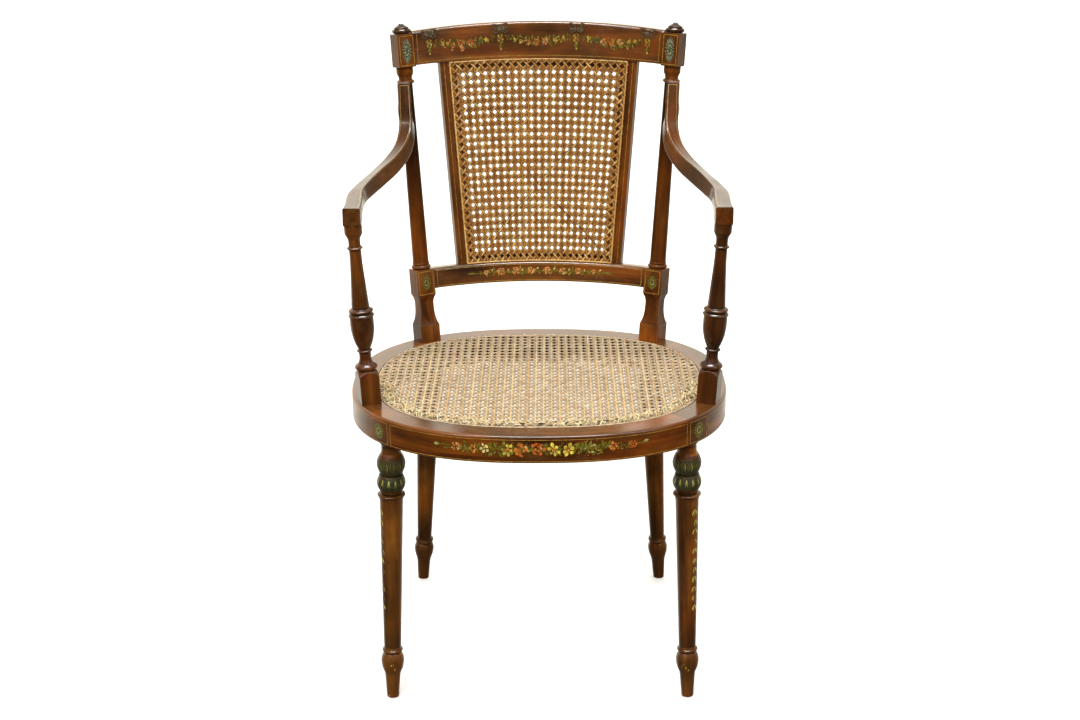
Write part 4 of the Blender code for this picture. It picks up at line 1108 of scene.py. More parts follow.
def arm_route(side):
    """Middle of an arm's face, which looks forward at the post and upward further on."""
    on_post = post_matrix(side) @ Vector((0, 0, ARM_HEAD))
    reach = column_radius(ARM_HEAD) + ARM_THICKNESS - ARM_BED
    start = on_post + Vector((0, -reach, 0))
    over = support_matrix(side) @ Vector((0, 0, SUPPORT_TOP))
    end = Vector((over.x, over.y - ARM_OVERHANG, ARM_UNDERSIDE + ARM_END_THICKNESS))
    run = end - start
    points = [start]
    for forward, down, outward in ARM_SWEEP:
        points.append(start + Vector((run.x * outward, run.y * forward, run.z * down)))
    square_end = end + Vector((0, ARM_END_LENGTH, 0))
    points += [square_end + Vector((0, ARM_END_SLOPE, 0)), end]
    return smooth_path(points, ARM_SPAN_STEPS)


def arm_frames(side):
    """Stations along an arm: point of the face, across, back, half width, depth, lower rounding, length."""
    route = arm_route(side)
    last = len(route) - 1
    frames = []
    along = 0.0
    for k, point in enumerate(route):
        step = (route[min(k + 1, last)] - route[max(k - 1, 0)]).normalized()
        across = Vector((-step.y, step.x, 0)).normalized()
        back = across.cross(step)
        share = (ARM_END_LENGTH + ARM_END_SLOPE - (route[last] - point).length) / ARM_END_SLOPE
        share = max(0.0, min(1.0, share))
        deep = between(ARM_THICKNESS, ARM_END_THICKNESS, eased(share))
        deep += ARM_BELLY * math.sin(math.pi * k / last) ** 2
        under = between(ARM_UNDER_ROUND, ARM_END_ROUND, share)
        if k:
            along += (point - route[k - 1]).length
        half = between(ARM_HEAD_WIDTH, ARM_END_WIDTH, k / last) / 2
        half -= ARM_NARROWING * max(0.0, 1 - along / ARM_NARROW_LENGTH)
        setback = ARM_HEAD_SETBACK * max(0.0, 1 - along / ARM_HEAD_SLOPE) ** 1.5
        frames.append((point + back * setback, across, back, half, deep - setback, under, along, step))
    return [turned_frame(*station, station[6] / along, side) for station in frames]


def turned_frame(point, across, back, half, deep, under, along, step, share, side):
    """Station of an arm with its section turned outward about the middle of the section."""
    for (low, first), (high, second) in zip(ARM_TURNS, ARM_TURNS[1:]):
        if low <= share <= high:
            degrees = between(first, second, eased((share - low) / (high - low)))
    turn = Matrix.Rotation(-side * math.radians(degrees), 3, step)
    middle = point + back * (deep / 2)
    turned_back = turn @ back
    return middle - turned_back * (deep / 2), turn @ across, turned_back, half, deep, under, along


def build_arms():
    for word, side in SIDES:
        stations = []
        for point, across, back, half, deep, under, along in arm_frames(side):
            section = rounded_section(((half, 0.0, ARM_FACE_ROUND), (-half, 0.0, ARM_FACE_ROUND),
                                       (-half, deep, under), (half, deep, under)))
            stations.append([(point + across * a + back * b, (a, b, along)) for a, b in section])
        wooden("arm_" + word, eased_ends(stations), ARM_WOOD)
        turned("arm_support_" + word, support_outline(), support_matrix(side), SUPPORT_WOOD, SQUARE_ANGLES)


def bead_rows(middle):
    half = SUPPORT_BEAD_HEIGHT / 2
    return swell(middle - half, middle + half, SUPPORT_NECK_RADIUS + 0.0002, SUPPORT_BEAD_RADIUS,
                 SUPPORT_NECK_RADIUS + 0.0002, 8)


def dome_rows(block, half):
    """Arched top of the faces of a support's block."""
    corner = half * math.sqrt(2)
    drop = corner - half + BLOCK_EASE
    return [(block - SUPPORT_DOME * (1 - share), corner - drop * share ** 1.6, half) for share in shares(8)]


def support_outline():
    """Square block with arched faces, then torus, bead, urn, two rings, tapered shaft, bead and cap."""
    half = SUPPORT_BLOCK_SIDE / 2
    block = SUPPORT_BLOCK_HEIGHT
    neck = SUPPORT_NECK_RADIUS
    torus = block + SUPPORT_TORUS_HEIGHT
    bead = block + LOWER_BEAD_RISE
    ring = block + DOUBLE_RING_RISE
    single = SINGLE_RING_HEIGHT
    shaft = ring + single
    upper = SUPPORT_TOP - UPPER_BEAD_DROP
    cap = SUPPORT_TOP - SUPPORT_CAP_HEIGHT
    urn = [(block + rise, radius) for rise, radius in URN_SHAPE]
    return [
        (-SUNK, WIDE, half),
        *dome_rows(block, half),
        *swell(block + 0.0006, torus, half - 0.0016, SUPPORT_TORUS_RADIUS, half - 0.0026, 10),
        *curve((torus + 0.0004, half - 0.0034), (torus + 0.0030, neck + 0.0012), (torus + 0.0070, neck),
               (bead - 0.0026, neck)),
        *bead_rows(bead),
        *curve((block + URN_FOOT_RISE - 0.0022, URN_FOOT_RADIUS - 0.0008), *urn,
               (ring - single - 0.0004, URN_RADIUS)),
        *swell(ring - single, ring - 0.0016, URN_RADIUS, DOUBLE_RING_RADIUS, DOUBLE_RING_HOLLOW, 8),
        *swell(ring + 0.0006, shaft - 0.0010, DOUBLE_RING_HOLLOW, UPPER_RING_RADIUS,
               SUPPORT_SHAFT_RADIUS + 0.0014, 8),
        *curve((shaft - 0.0004, SUPPORT_SHAFT_RADIUS + 0.0002), (shaft + SHAFT_TAPER, SHAFT_TAPER_RADIUS),
               (upper - 0.020, neck + 0.0002), (upper - 0.0026, neck)),
        *bead_rows(upper),
        *curve((upper + 0.0028, neck), (cap - SUPPORT_CAP_SCOOP, neck + 0.0001),
               (cap - 0.0030, SUPPORT_CAP_FOOT - 0.0012), (cap, SUPPORT_CAP_FOOT)),
        (SUPPORT_TOP + 0.001, SUPPORT_CAP_RADIUS),
    ]


# Strands and strokes

class Faces:
    """Faces with a tint at each corner, gathered into one piece."""

    def __init__(self):
        self.points = []
        self.tints = []
        self.faces = []

    def add(self, points, tints, faces):
        start = len(self.points)
        self.points += points
        self.tints += tints
        self.faces += [tuple(start + k for k in face) for face in faces]

    def piece(self, name, material, slot, *nodes):
        mesh = bpy.data.meshes.new(name)
        mesh.from_pydata(self.points, [], self.faces)
        layer = mesh.color_attributes.new("tint", "FLOAT_COLOR", "POINT")
        layer.data.foreach_set("color", [part for tint in self.tints for part in (*tint, 1.0)])
        mesh.shade_smooth()
        add_piece(name, mesh, material, nodes)

    def gilded(self, name):
        self.piece(name, GILDING, "painted_ornament")

    def painted(self, name):
        self.piece(name, PAINT, "painted_ornament")

    def strand(self, path, fronts, width, crown, tint, shade=CANE_EDGE_SHADE, looks=None):
        """Strand of cane along a path, almost flat behind and domed towards its front, with painted shade at
        its edges.

        The looks, if given, are a factor on the width and one on the tint, as painted shade, at each point of
        the path.
        """
        points = []
        tints = []
        last = len(path) - 1
        for k, point in enumerate(path):
            step = path[min(k + 1, last)] - path[max(k - 1, 0)]
            fullness, light = looks[k] if looks else (1.0, 1.0)
            side = fronts[k].cross(step).normalized() * (width * fullness / 2)
            points += [point - side, point + fronts[k] * crown, point + side, point - fronts[k] * STRAND_BACK]
            middle = varied([part * light for part in tint], 0.10)
            edge = tuple(part * shade for part in middle)
            tints += [edge, middle, edge, middle]
        faces = []
        for k in range(last):
            for near, far in ((0, 1), (1, 2), (2, 3), (3, 0)):
                faces.append((4 * k + near, 4 * k + far, 4 * k + 4 + far, 4 * k + 4 + near))
        self.add(points, tints, faces)


def varied(colour, amount):
    """Colour made a little lighter or darker."""
    factor = 1.0 + chance.uniform(-amount, amount)
    return tuple(part * factor for part in colour)


def blend(first, second, share):
    return tuple(a + (b - a) * share for a, b in zip(first, second))


# Cane: pairs of upright and level strands, with two sets of slanted strands through the gaps.
# Places are in pitches; the pairs lie at half pitches and the slanted strands cross them midway.

def weave_lines(columns, rows, trim, weaving):
    """Straight strands of a weave as (start, end, kind), with trim cut off all round."""
    lines = []
    for m in range(columns):
        for hand, kind in ((-1, "under"), (1, "over")):
            x = m + 0.5 + hand * weaving["upright_pair"]
            lines.append(((x, trim), (x, rows - trim), kind))
    for m in range(rows):
        for hand in HANDS:
            y = m + 0.5 + hand * weaving["level_pair"]
            lines.append(((trim, y), (columns - trim, y), "level"))
    for m in range(-rows, columns):
        shift = m + 0.5
        start = trim + max(0.0, shift)
        end = min(columns, rows + shift) - trim
        if end > start:
            lines.append(((start, start - shift), (end, end - shift), "rising"))
            lines.append(((start, rows - start + shift), (end, rows - end + shift), "falling"))
    return lines


def weave_height(kind, x, weaving):
    """Height of a strand above the middle of the weave."""
    if kind == "under":
        return -weaving["wave"]
    if kind == "over":
        return weaving["wave"]
    if kind == "level":
        return -weaving["wave"] * math.sin(math.tau * (x - 0.5))
    wave = weaving["slanted_wave"] * math.cos(math.tau * x)
    return wave if kind == "rising" else -wave


STRAND_KINDS = {"under": "upright", "over": "upright", "level": "level", "rising": "slanted",
                "falling": "slanted"}


def weave_light(kind, x, y):
    """Share of the light on a strand, which is least where it passes under others."""
    if kind == "under":
        hidden = math.cos(math.pi * (y - 0.5)) ** 4
    elif kind == "over":
        hidden = math.cos(math.pi * y) ** 4
    elif kind == "level":
        hidden = math.cos(math.pi * (x - 0.5)) ** 4
    else:
        rise = math.cos(math.tau * x) if kind == "rising" else -math.cos(math.tau * x)
        hidden = (0.5 - 0.5 * rise) ** 2
    return 1 - SHADOWED * hidden


def laid(place, spots):
    """Points at (x, y, height) spots, and the direction in which the front of the cane looks at each."""
    path = [place(*spot) for spot in spots]
    ahead = [place(x, y, height + PROBE) for x, y, height in spots]
    return path, [(front - point).normalized() for front, point in zip(ahead, path)]


def weave(faces, lines, place, tints, weaving, fullness):
    """Lays strands along lines; place gives a point from (x, y, height) in pitches and metres."""
    for start, end, kind in lines:
        length = max(abs(end[0] - start[0]), abs(end[1] - start[1]))
        spots = [blend(start, end, share) for share in shares(max(2, round(length * weaving["steps"])))]
        path, fronts = laid(place, [(x, y, weave_height(kind, x, weaving)) for x, y in spots])
        looks = [(fullness(point), weave_light(kind, x, y)) for point, (x, y) in zip(path, spots)]
        run = STRAND_KINDS[kind]
        width = weaving[run] * chance.uniform(0.90, 1.10)
        tint = varied(chance.choice(tints[run]), 0.16)
        faces.strand(path, fronts, width, weaving["crown"], tint, weaving["shade"], looks)


def inside_seat(line, edge):
    """Part of a line in the plane of the seat that lies inside a closed outline, or nothing."""
    (x0, y0), (x1, y1), kind = line
    reach = abs(x1 - x0) + abs(y1 - y0)
    crossings = []
    for (ax, ay), (bx, by) in zip(edge, edge[1:] + edge[:1]):
        below = (x1 - x0) * (ay - y0) - (y1 - y0) * (ax - x0)
        above = (x1 - x0) * (by - y0) - (y1 - y0) * (bx - x0)
        if (below < 0) != (above < 0):
            x, y = blend((ax, ay), (bx, by), below / (below - above))
            crossings.append((abs(x - x0) + abs(y - y0)) / reach)
    if len(crossings) < 2:
        return None
    return blend(*line[:2], min(crossings)), blend(*line[:2], max(crossings)), kind


PALE_CANE = ((0.79, 0.61, 0.40), (0.88, 0.72, 0.51), (0.71, 0.54, 0.36), (0.83, 0.63, 0.41))
TAN_CANE = ((0.82, 0.56, 0.28), (0.88, 0.64, 0.36), (0.85, 0.64, 0.39), (0.75, 0.45, 0.21),
            (0.85, 0.64, 0.34))
BROWN_CANE = ((0.60, 0.26, 0.056), (0.45, 0.18, 0.034), (0.70, 0.36, 0.094), (0.53, 0.22, 0.044))
GOLDEN_CANE = ((0.78, 0.42, 0.120), (0.63, 0.31, 0.074), (0.90, 0.56, 0.200), (0.57, 0.26, 0.055))
FRINGE_CANE = ((1.0, 0.88, 0.58), (0.96, 0.80, 0.48), (0.90, 0.70, 0.38))
DARK_FIBRE_CANE = (0.070, 0.024, 0.006)
# Tint of the dark strands painted as the shadows in the gaps of the worn front
GAP_SHADOW = (0.100, 0.056, 0.020)
SHADOWED = 0.48                  # share of light lost where a strand passes under another
FLATTENED = 0.84                 # how much wider the seat's strands are where they are worn flat
FLATTENED_FROM = 0.095           # place along Y where the wear starts, and the length in which it grows
FLATTENED_OVER = 0.03
DARK_FIBRE_WIDTH = 0.0010
DARK_FIBRE_RISE = 0.0014
DARK_FIBRE_CROWN = 0.0003
# Ends of the dark fibres in the back's weave, in pitches from its lower left corner
DARK_FIBRE_ENDS = (((3.0, 1.3), (20.6, 18.9)), ((6.0, 4.75), (17.0, 15.75)), ((14.8, 7.8), (23.4, 0.6)))
SEAT_TINTS = {"upright": TAN_CANE, "level": PALE_CANE, "slanted": PALE_CANE}
BACK_TINTS = {"upright": BROWN_CANE, "level": BROWN_CANE, "slanted": GOLDEN_CANE}
CANE_LEVEL = SEAT_HEIGHT - CANE_STEP + SEAT_WEAVE["slanted_wave"] + 0.0008
CANE_EDGE = RIM_WIDTH + 0.0018
CANE_MARGIN = 0.0006
BINDER_EDGE = RIM_WIDTH + 0.0008
BINDER_MIDDLE = BINDER_EDGE + SEAT_BINDER_WIDTH / 2
BINDER_INNER = BINDER_EDGE + SEAT_BINDER_WIDTH
BINDER_LEVEL = CANE_LEVEL + SEAT_WEAVE["crown"] + SEAT_WEAVE["wave"]
WORN_START = 186.0               # degrees round the seat where its worn front starts, and its length
WORN_ARC = 168.0
FRAYED_ARC = (184.0, 356.0)
UP = Vector((0, 0, 1))
# Corners of the back's panel, as the places that cane_point takes
PANEL_CORNERS = ((-1.0, 0.0), (1.0, 0.0), (1.0, 1.0), (-1.0, 1.0))


def seat_fullness(point):
    """Factor on the width of the seat's strands, which are flattened from wear towards the front."""
    return 1 + FLATTENED * max(0.0, min(1.0, (FLATTENED_FROM - point.y) / FLATTENED_OVER))


def build_seat_cane():
    columns = 2 * math.ceil(SEAT_HALF_WIDTH / SEAT_PITCH_ACROSS)
    rows = 2 * math.ceil(SEAT_HALF_DEPTH / SEAT_PITCH_ALONG)

    def place(x, y, height):
        return Vector(((x - columns / 2) * SEAT_PITCH_ACROSS,
                       SEAT_CENTRE_Y + (y - rows / 2) * SEAT_PITCH_ALONG, CANE_LEVEL + height))

    edge = []
    for k in range(180):
        point = oval(2.0 * k, CANE_EDGE, 0)
        edge.append((point.x / SEAT_PITCH_ACROSS + columns / 2,
                     (point.y - SEAT_CENTRE_Y) / SEAT_PITCH_ALONG + rows / 2))
    lines = [inside_seat(line, edge) for line in weave_lines(columns, rows, 0.0, SEAT_WEAVE)]
    cane = Faces()
    weave(cane, [line for line in lines if line], place, SEAT_TINTS, SEAT_WEAVE, seat_fullness)
    cane.piece("woven_seat", CANE, "cane", "seat_cane")
    build_seat_binder()


def build_seat_binder():
    """Thin flat cane round the seat, tied down by stitches, with painted shadows of gaps and frayed ends
    towards the front.
    """
    binder = Faces()
    path = [oval(k * 1.5, BINDER_MIDDLE + chance.uniform(-0.0003, 0.0003), BINDER_LEVEL) for k in range(240)]
    path.append(path[0])
    binder.strand(path, [UP] * len(path), SEAT_BINDER_WIDTH, BINDER_CROWN, PALE_CANE[1])
    paint_gap_shadows(binder)
    stitch_seat(binder)
    fray_seat(binder)
    binder.piece("bound_seat_edge", CANE, "cane", "seat_binder")


# Dark strands painted as the shadows in the gaps of the worn front of the seat
def paint_gap_shadows(binder):
    for k in range(GAP_SHADOW_COUNT):
        angle = WORN_START + WORN_ARC * k / GAP_SHADOW_COUNT + chance.uniform(-0.5, 0.5)
        turn = chance.uniform(0.6, 1.6)
        inset = BINDER_INNER + chance.uniform(0.0030, 0.0190)
        shadow_path = [oval(angle + turn * share, inset + chance.uniform(-0.0008, 0.0008), BINDER_LEVEL + 0.0003)
               for share in shares(3)]
        width = chance.uniform(0.0016, 0.0030) + 0.0040 * math.sin(math.radians(angle)) ** 6
        binder.strand(shadow_path, [UP] * len(shadow_path), width, 0.0001, varied(GAP_SHADOW, 0.5))


def stitch(binder, points, front, width, tints):
    """Narrow strand that ties the binder down, from its outer edge over its crown."""
    path = smooth_path(points, 5)
    binder.strand(path, [front] * len(path), width, FIBRE_CROWN, varied(chance.choice(tints), 0.2))


def stitch_seat(binder):
    for k in range(SEAT_STITCHES):
        angle = 360.0 * k / SEAT_STITCHES + chance.uniform(-0.7, 0.7)
        slant = chance.choice(HANDS) * chance.uniform(0.5, 2.4)
        outer = oval(angle, BINDER_EDGE, BINDER_LEVEL + 0.0002)
        crest = oval(angle + slant * 0.3, BINDER_MIDDLE, BINDER_LEVEL + BINDER_CROWN + 0.0003)
        inner = oval(angle + slant, BINDER_INNER + chance.uniform(0.004, 0.009), BINDER_LEVEL + 0.0004)
        stitch(binder, [outer, crest, inner], UP, STITCH_WIDTH * chance.uniform(0.7, 1.2), PALE_CANE)


def fray_seat(binder):
    """Loose pale fibres that stand up in small arches."""
    for _ in range(FRAYED_FIBRES):
        angle = chance.uniform(*FRAYED_ARC)
        slope = chance.choice(HANDS) * chance.uniform(0.1, 1.0)
        length = chance.uniform(0.007, 0.015)
        height = chance.uniform(0.0006, 0.0046)
        inset = BINDER_INNER + chance.uniform(0.0010, 0.0190)
        run = math.degrees(length / SEAT_HALF_WIDTH) * (1 - 0.4 * abs(slope))
        path = []
        for share in shares(4):
            along = share - 0.5
            rise = 0.0006 + height * (1 - 4 * along * along)
            deep = max(BINDER_INNER, inset + slope * length * along)
            path.append(oval(angle + run * along, deep, BINDER_LEVEL + rise))
        tint = varied(chance.choice(FRINGE_CANE), 0.2)
        width = chance.uniform(0.0012, 0.0023)
        binder.strand(path, [UP] * len(path), width, FIBRE_CROWN, tint, FRINGE_EDGE_SHADE)


def build_back_cane():
    middle = STILE_FRONT + BACK_WEAVE["slanted_wave"] + 0.0003

    def place(x, y, height):
        across = (2 * x - BACK_COLUMNS) / (BACK_COLUMNS - 2 * BACK_TRIM)
        up = (y - BACK_TRIM) / (BACK_ROWS - 2 * BACK_TRIM)
        return cane_point(across, up, middle + height, CANE_MARGIN)

    lines = weave_lines(BACK_COLUMNS, BACK_ROWS, BACK_TRIM, BACK_WEAVE)
    cane = Faces()
    weave(cane, lines, place, BACK_TINTS, BACK_WEAVE, lambda point: 1.0)
    lay_dark_fibres(cane, place)
    cane.piece("woven_back", CANE, "cane", "back_cane")
    build_back_binder(middle + BACK_WEAVE["wave"] + BACK_WEAVE["crown"])


def lay_dark_fibres(cane, place):
    """Slanted fibres that are dark in places."""
    for start, end in DARK_FIBRE_ENDS:
        begin = 0.0
        total = abs(end[0] - start[0])
        while begin < total:
            length = chance.uniform(0.6, 2.2)
            ways = [min(1.0, (begin + length * share) / total) for share in shares(STAIN_STEPS)]
            path, fronts = laid(place, [(*blend(start, end, way), DARK_FIBRE_RISE) for way in ways])
            if begin + length < total:
                width = DARK_FIBRE_WIDTH * chance.uniform(0.7, 1.2)
                cane.strand(path, fronts, width, DARK_FIBRE_CROWN, varied(DARK_FIBRE_CANE, 0.5))
            begin += length + chance.uniform(0.0, 0.9)


def build_back_binder(base):
    """Flat cane round the back's panel, tied down by stitches; the right side is the darkest."""
    binder = Faces()
    inset = BACK_BINDER_WIDTH / 2 + 0.0002

    def place(across, up, forward):
        return cane_point(across, up, forward, inset)

    for side in range(4):
        start = PANEL_CORNERS[side]
        end = PANEL_CORNERS[(side + 1) % 4]
        count = BACK_ROWS if side % 2 else BACK_COLUMNS
        tint = GOLDEN_CANE[0 if side == 1 else 2]
        path, fronts = laid(place, [(*blend(start, end, share), base) for share in shares(2 * count)])
        binder.strand(path, fronts, BACK_BINDER_WIDTH, BINDER_CROWN, tint)
        for k in range(count):
            spot = blend(start, end, (k + 0.5) / count)
            front = laid(place, [(*spot, base)])[1][0]
            outer = cane_point(*spot, base - 0.0006, -0.0002)
            crest = place(*spot, base + BINDER_CROWN)
            inner = cane_point(*spot, base - 0.0010, BACK_BINDER_WIDTH + 0.0016)
            stitch(binder, [outer, crest, inner], front, STITCH_WIDTH, GOLDEN_CANE)
    binder.piece("bound_back_edge", CANE, "cane", "back_binder")


# Painting

class Brush:
    """Paints on one surface, each stroke a hair above the one before."""

    def __init__(self, faces, surface):
        self.faces = faces
        self.surface = surface
        self.lift = PAINT_LIFT

    def ribbon(self, path, widths, tints):
        """Stroke along (u, v) places, with a width and a tint at each."""
        self.lift += PAINT_LAYER
        points = []
        last = len(path) - 1
        for k, (u, v) in enumerate(path):
            before = path[max(k - 1, 0)]
            after = path[min(k + 1, last)]
            along = Vector((after[0] - before[0], after[1] - before[1])).normalized()
            out = Vector((-along.y, along.x)) * (widths[k] / 2)
            points += [self.surface(u + out.x, v + out.y, self.lift),
                       self.surface(u - out.x, v - out.y, self.lift)]
        doubled = [tint for tint in tints for _ in (0, 1)]
        self.faces.add(points, doubled, [(2 * k, 2 * k + 1, 2 * k + 3, 2 * k + 2) for k in range(last)])

    def line(self, places, width, tint, worn=0.0):
        """Thin line through places that follows the surface; worn is how far it has faded at most."""
        path = []
        for start, end in zip(places, places[1:]):
            count = max(1, math.ceil(math.hypot(end[0] - start[0], end[1] - start[1]) / LINE_STEP))
            path += [blend(start, end, share) for share in shares(count)[:-1]]
        path.append(places[-1])
        widths = [width * chance.uniform(0.85, 1.15) for _ in path]
        least = max(0.0, 2 * worn - 1)
        tints = [blend(varied(tint, 0.12), BROWN, chance.uniform(least, worn)) for _ in path]
        self.ribbon(path, widths, tints)

    def frame(self, left, right, bottom, top, worn=(0.5, 0.5, 0.5, 0.5)):
        """Rectangle of four gold lines; worn is for the bottom, right, top and left ones."""
        corners = ((left, bottom), (right, bottom), (right, top), (left, top))
        for k in range(4):
            self.line([corners[k], corners[(k + 1) % 4]], GOLD_WIDTH, GOLD, worn[k])

    def leaf(self, u, v, angle, length, width, base, tip, curl=0.0, fullness=1.0):
        """Pointed or round stroke from a place, at an angle in degrees."""
        heading = math.radians(angle)
        path = [(u, v)]
        for _ in range(LEAF_STEPS):
            u += math.cos(heading) * length / LEAF_STEPS
            v += math.sin(heading) * length / LEAF_STEPS
            heading += math.radians(curl) / LEAF_STEPS
            path.append((u, v))
        ways = shares(LEAF_STEPS)
        widths = [width * max(math.sin(math.pi * way ** fullness), 0.06) for way in ways]
        self.ribbon(path, widths, [blend(base, tip, way) for way in ways])

    def spot(self, u, v, radius, tint, rim=None, stretch=1.0):
        """Round spot, its rim in another tint where that is given."""
        path = []
        widths = []
        tints = []
        for share in shares(SPOT_STEPS):
            angle = math.pi * (1 - share)
            path.append((u + radius * math.cos(angle), v))
            widths.append(2 * radius * stretch * max(math.sin(angle), 0.05))
            tints.append(blend(tint, rim or tint, abs(2 * share - 1)))
        self.ribbon(path, widths, tints)


def daisy(brush, u, v, radius, petal, heart, count=6):
    """Open flower of loose, uneven petals round a few dots."""
    start = chance.uniform(0, 360)
    for k in range(count):
        angle = start + 360.0 * k / count + chance.uniform(-16, 16)
        c, s = circle(angle)
        near = radius * chance.uniform(0.14, 0.28)
        tint = varied(petal, 0.35)
        length = radius * chance.uniform(0.50, 0.90)
        width = radius * chance.uniform(0.36, 0.58)
        base = blend(tint, BROWN, chance.uniform(0.2, 0.7))
        curl = chance.uniform(-30, 30)
        fullness = chance.uniform(1.1, 1.7)
        brush.leaf(u + near * c, v + near * s, angle, length, width, base, tint, curl, fullness)
    for _ in range(3):
        across = radius * chance.uniform(-0.2, 0.2)
        rise = radius * chance.uniform(-0.2, 0.2)
        brush.spot(u + across, v + rise, radius * 0.12, varied(heart, 0.3))


def rose(brush, u, v, radius, dark, light):
    """Cupped flower of loose curved dabs, some of them pale, with the wood between them."""
    start = chance.uniform(0, 60)
    for ring, count, reach, size in ((0, 6, 0.66, 0.70), (1, 4, 0.30, 0.50)):
        for k in range(count):
            turn = start + 360.0 * (k + 0.5 * ring) / count + chance.uniform(-18, 18)
            length = radius * size * chance.uniform(0.7, 1.2)
            c, s = circle(turn)
            shade = chance.uniform(-0.2, 0.9)
            tint = blend(dark, light, max(0.0, shade)) if shade < 0.75 else blend(light, CREAM, 0.5)
            heading = turn + 66 + chance.uniform(-20, 20)
            width = radius * size * chance.uniform(0.45, 0.70)
            brush.leaf(u + c * radius * reach + s * length * 0.46, v + s * radius * reach - c * length * 0.46,
                       heading, length, width, blend(tint, BROWN, 0.3), varied(tint, 0.2), 48)
    brush.spot(u, v, radius * 0.13, blend(dark, BROWN, 0.7))


def bud(brush, u, v, angle, size, tint):
    for spread in (-28, 28):
        brush.leaf(u, v, angle + spread, size * 0.7, size * 0.26, DARK_GREEN, LEAF_GREEN, -spread)
    brush.leaf(u, v, angle, size, size * 0.46, varied(tint, 0.1), blend(tint, CREAM, 0.35), 0, 1.2)


def leaf_pair(brush, u, v, angle, size):
    for spread in (-42, 42):
        turn = angle + spread + chance.uniform(-9, 9)
        length = size * chance.uniform(0.85, 1.15)
        curl = -spread * 0.5
        brush.leaf(u, v, turn, length, size * 0.40, DARK_GREEN, varied(LEAF_GREEN, 0.25), curl)
        brush.leaf(u, v, turn, size * 0.8, size * 0.07, PALE_GREEN, LEAF_GREEN, curl)


# Places of a bow's loops from its knot, their half sizes and tilts, in shares of the bow's size and degrees
BOW_LOOPS = ((0.42, 0.18, 0.40, 0.24, 26), (0.36, -0.14, 0.34, 0.18, -20))
BOW_ENDS = ((24, 0.66), (60, 0.58))
BOW_SIZE = 0.0150


def bow(brush, u, v, size):
    """Loose, rubbed ribbon bow: open loops on each side and trailing ends, in thin strokes."""
    shaded = blend(BLUE_GREY, BROWN, 0.3)
    worn = blend(BLUE_GREY, BROWN, 0.7)
    for side in HANDS:
        for across, rise, wide, high, tilt in BOW_LOOPS:
            c, s = circle(tilt)
            path = []
            for k in range(15):
                x, y = circle(180 + 24 * k)
                a = wide * size * x * chance.uniform(0.85, 1.1)
                b = high * size * y * chance.uniform(0.75, 1.15)
                path.append((u + side * (across * size + a * c - b * s), v + rise * size + a * s + b * c))
            widths = [size * chance.uniform(0.05, 0.15) for _ in path]
            brush.ribbon(path, widths, [blend(BLUE_GREY, BROWN, chance.uniform(0.2, 0.85)) for _ in path])
        for fall, length in BOW_ENDS:
            brush.leaf(u, v, -90 + side * fall, size * length, size * 0.10, shaded, worn, side * 80)
    for _ in range(9):
        across = size * chance.uniform(-0.5, 0.5)
        rise = size * chance.uniform(-0.25, 0.35)
        heading = chance.uniform(0, 180)
        length = size * chance.uniform(0.14, 0.30)
        brush.leaf(u + across, v + rise, heading, length, size * 0.05, shaded, PALE_BLUE, 30)


# Drop below the bow, spread and length of a posy's leaves, then places and radii of its flowers
POSY_LEAVES = ((0.006, 32, 0.0060), (0.010, 40, 0.0062), (0.015, 34, 0.0056), (0.020, 26, 0.0050))
POSY_FLOWERS = ((-0.0030, 0.0100, 0.0017), (0.0024, 0.0095, 0.0019), (-0.0004, 0.0130, 0.0021),
                (0.0030, 0.0150, 0.0018), (-0.0028, 0.0162, 0.0018), (0.0004, 0.0190, 0.0019))


def posy(brush, u, v):
    """Hanging bunch: bow, green leaves, small yellow flowers and a tail of buds; v is the bow's height."""
    for drop, spread, size in POSY_LEAVES:
        for side in HANDS:
            tip = varied(LEAF_GREEN, 0.3)
            brush.leaf(u, v - drop, -90 + side * spread, size, 0.0022, DARK_GREEN, tip, side * 30)
    for across, drop, radius in POSY_FLOWERS:
        tint = chance.choice((YELLOW, YELLOW, CREAM, ORANGE))
        daisy(brush, u + across, v - drop, radius, tint, ORANGE, 5)
    brush.line([(u, v - 0.020), (u + 0.0004, v - 0.0265)], 0.0007, LEAF_GREEN)
    for drop, side in ((0.0225, -1), (0.0245, 1)):
        brush.leaf(u, v - drop, -90 + side * 34, 0.0036, 0.0014, DARK_GREEN, PALE_GREEN)
    bud(brush, u + 0.0003, v - 0.0255, -90, 0.0036, YELLOW)
    bow(brush, u, v, BOW_SIZE)


def swag(brush, start, end, flowers):
    """Garland between two posies; flowers are (share of the way, offset up, kind, radius)."""
    def place(share):
        sag = 1 - (2 * share - 1) ** 2
        return between(start, end, share), SWAG_HEIGHT - SWAG_SAG * sag

    brush.line([place(0.06 + 0.88 * share) for share in shares(16)], 0.0007, DARK_GREEN)
    for step in shares(26):
        share = 0.09 + 0.82 * step
        u, v = place(share)
        full = math.sin(math.pi * share)
        for side in HANDS:
            foliage(brush, u, v + chance.uniform(-0.002, 0.003) * full, side * chance.uniform(40, 140),
                    chance.uniform(0.0042, 0.0066) * (0.8 + 0.5 * full))
    for share, offset, kind, radius in flowers:
        u, v = place(share)
        flower(brush, kind, u, v + offset, radius)
    for _ in range(26):
        u, v = place(chance.uniform(0.15, 0.85))
        dab(brush, u, v + chance.uniform(-0.007, 0.006))


def foliage(brush, u, v, angle, length):
    """One leaf, mostly dark, with a lighter tip."""
    tint = chance.choice((LEAF_GREEN, LEAF_GREEN, LEAF_GREEN, PALE_GREEN, OLIVE, DARK_GREEN))
    brush.leaf(u, v, angle, length, length * 0.36, blend(LEAF_GREEN, BROWN, 0.6), varied(tint, 0.3),
               chance.uniform(-40, 40))


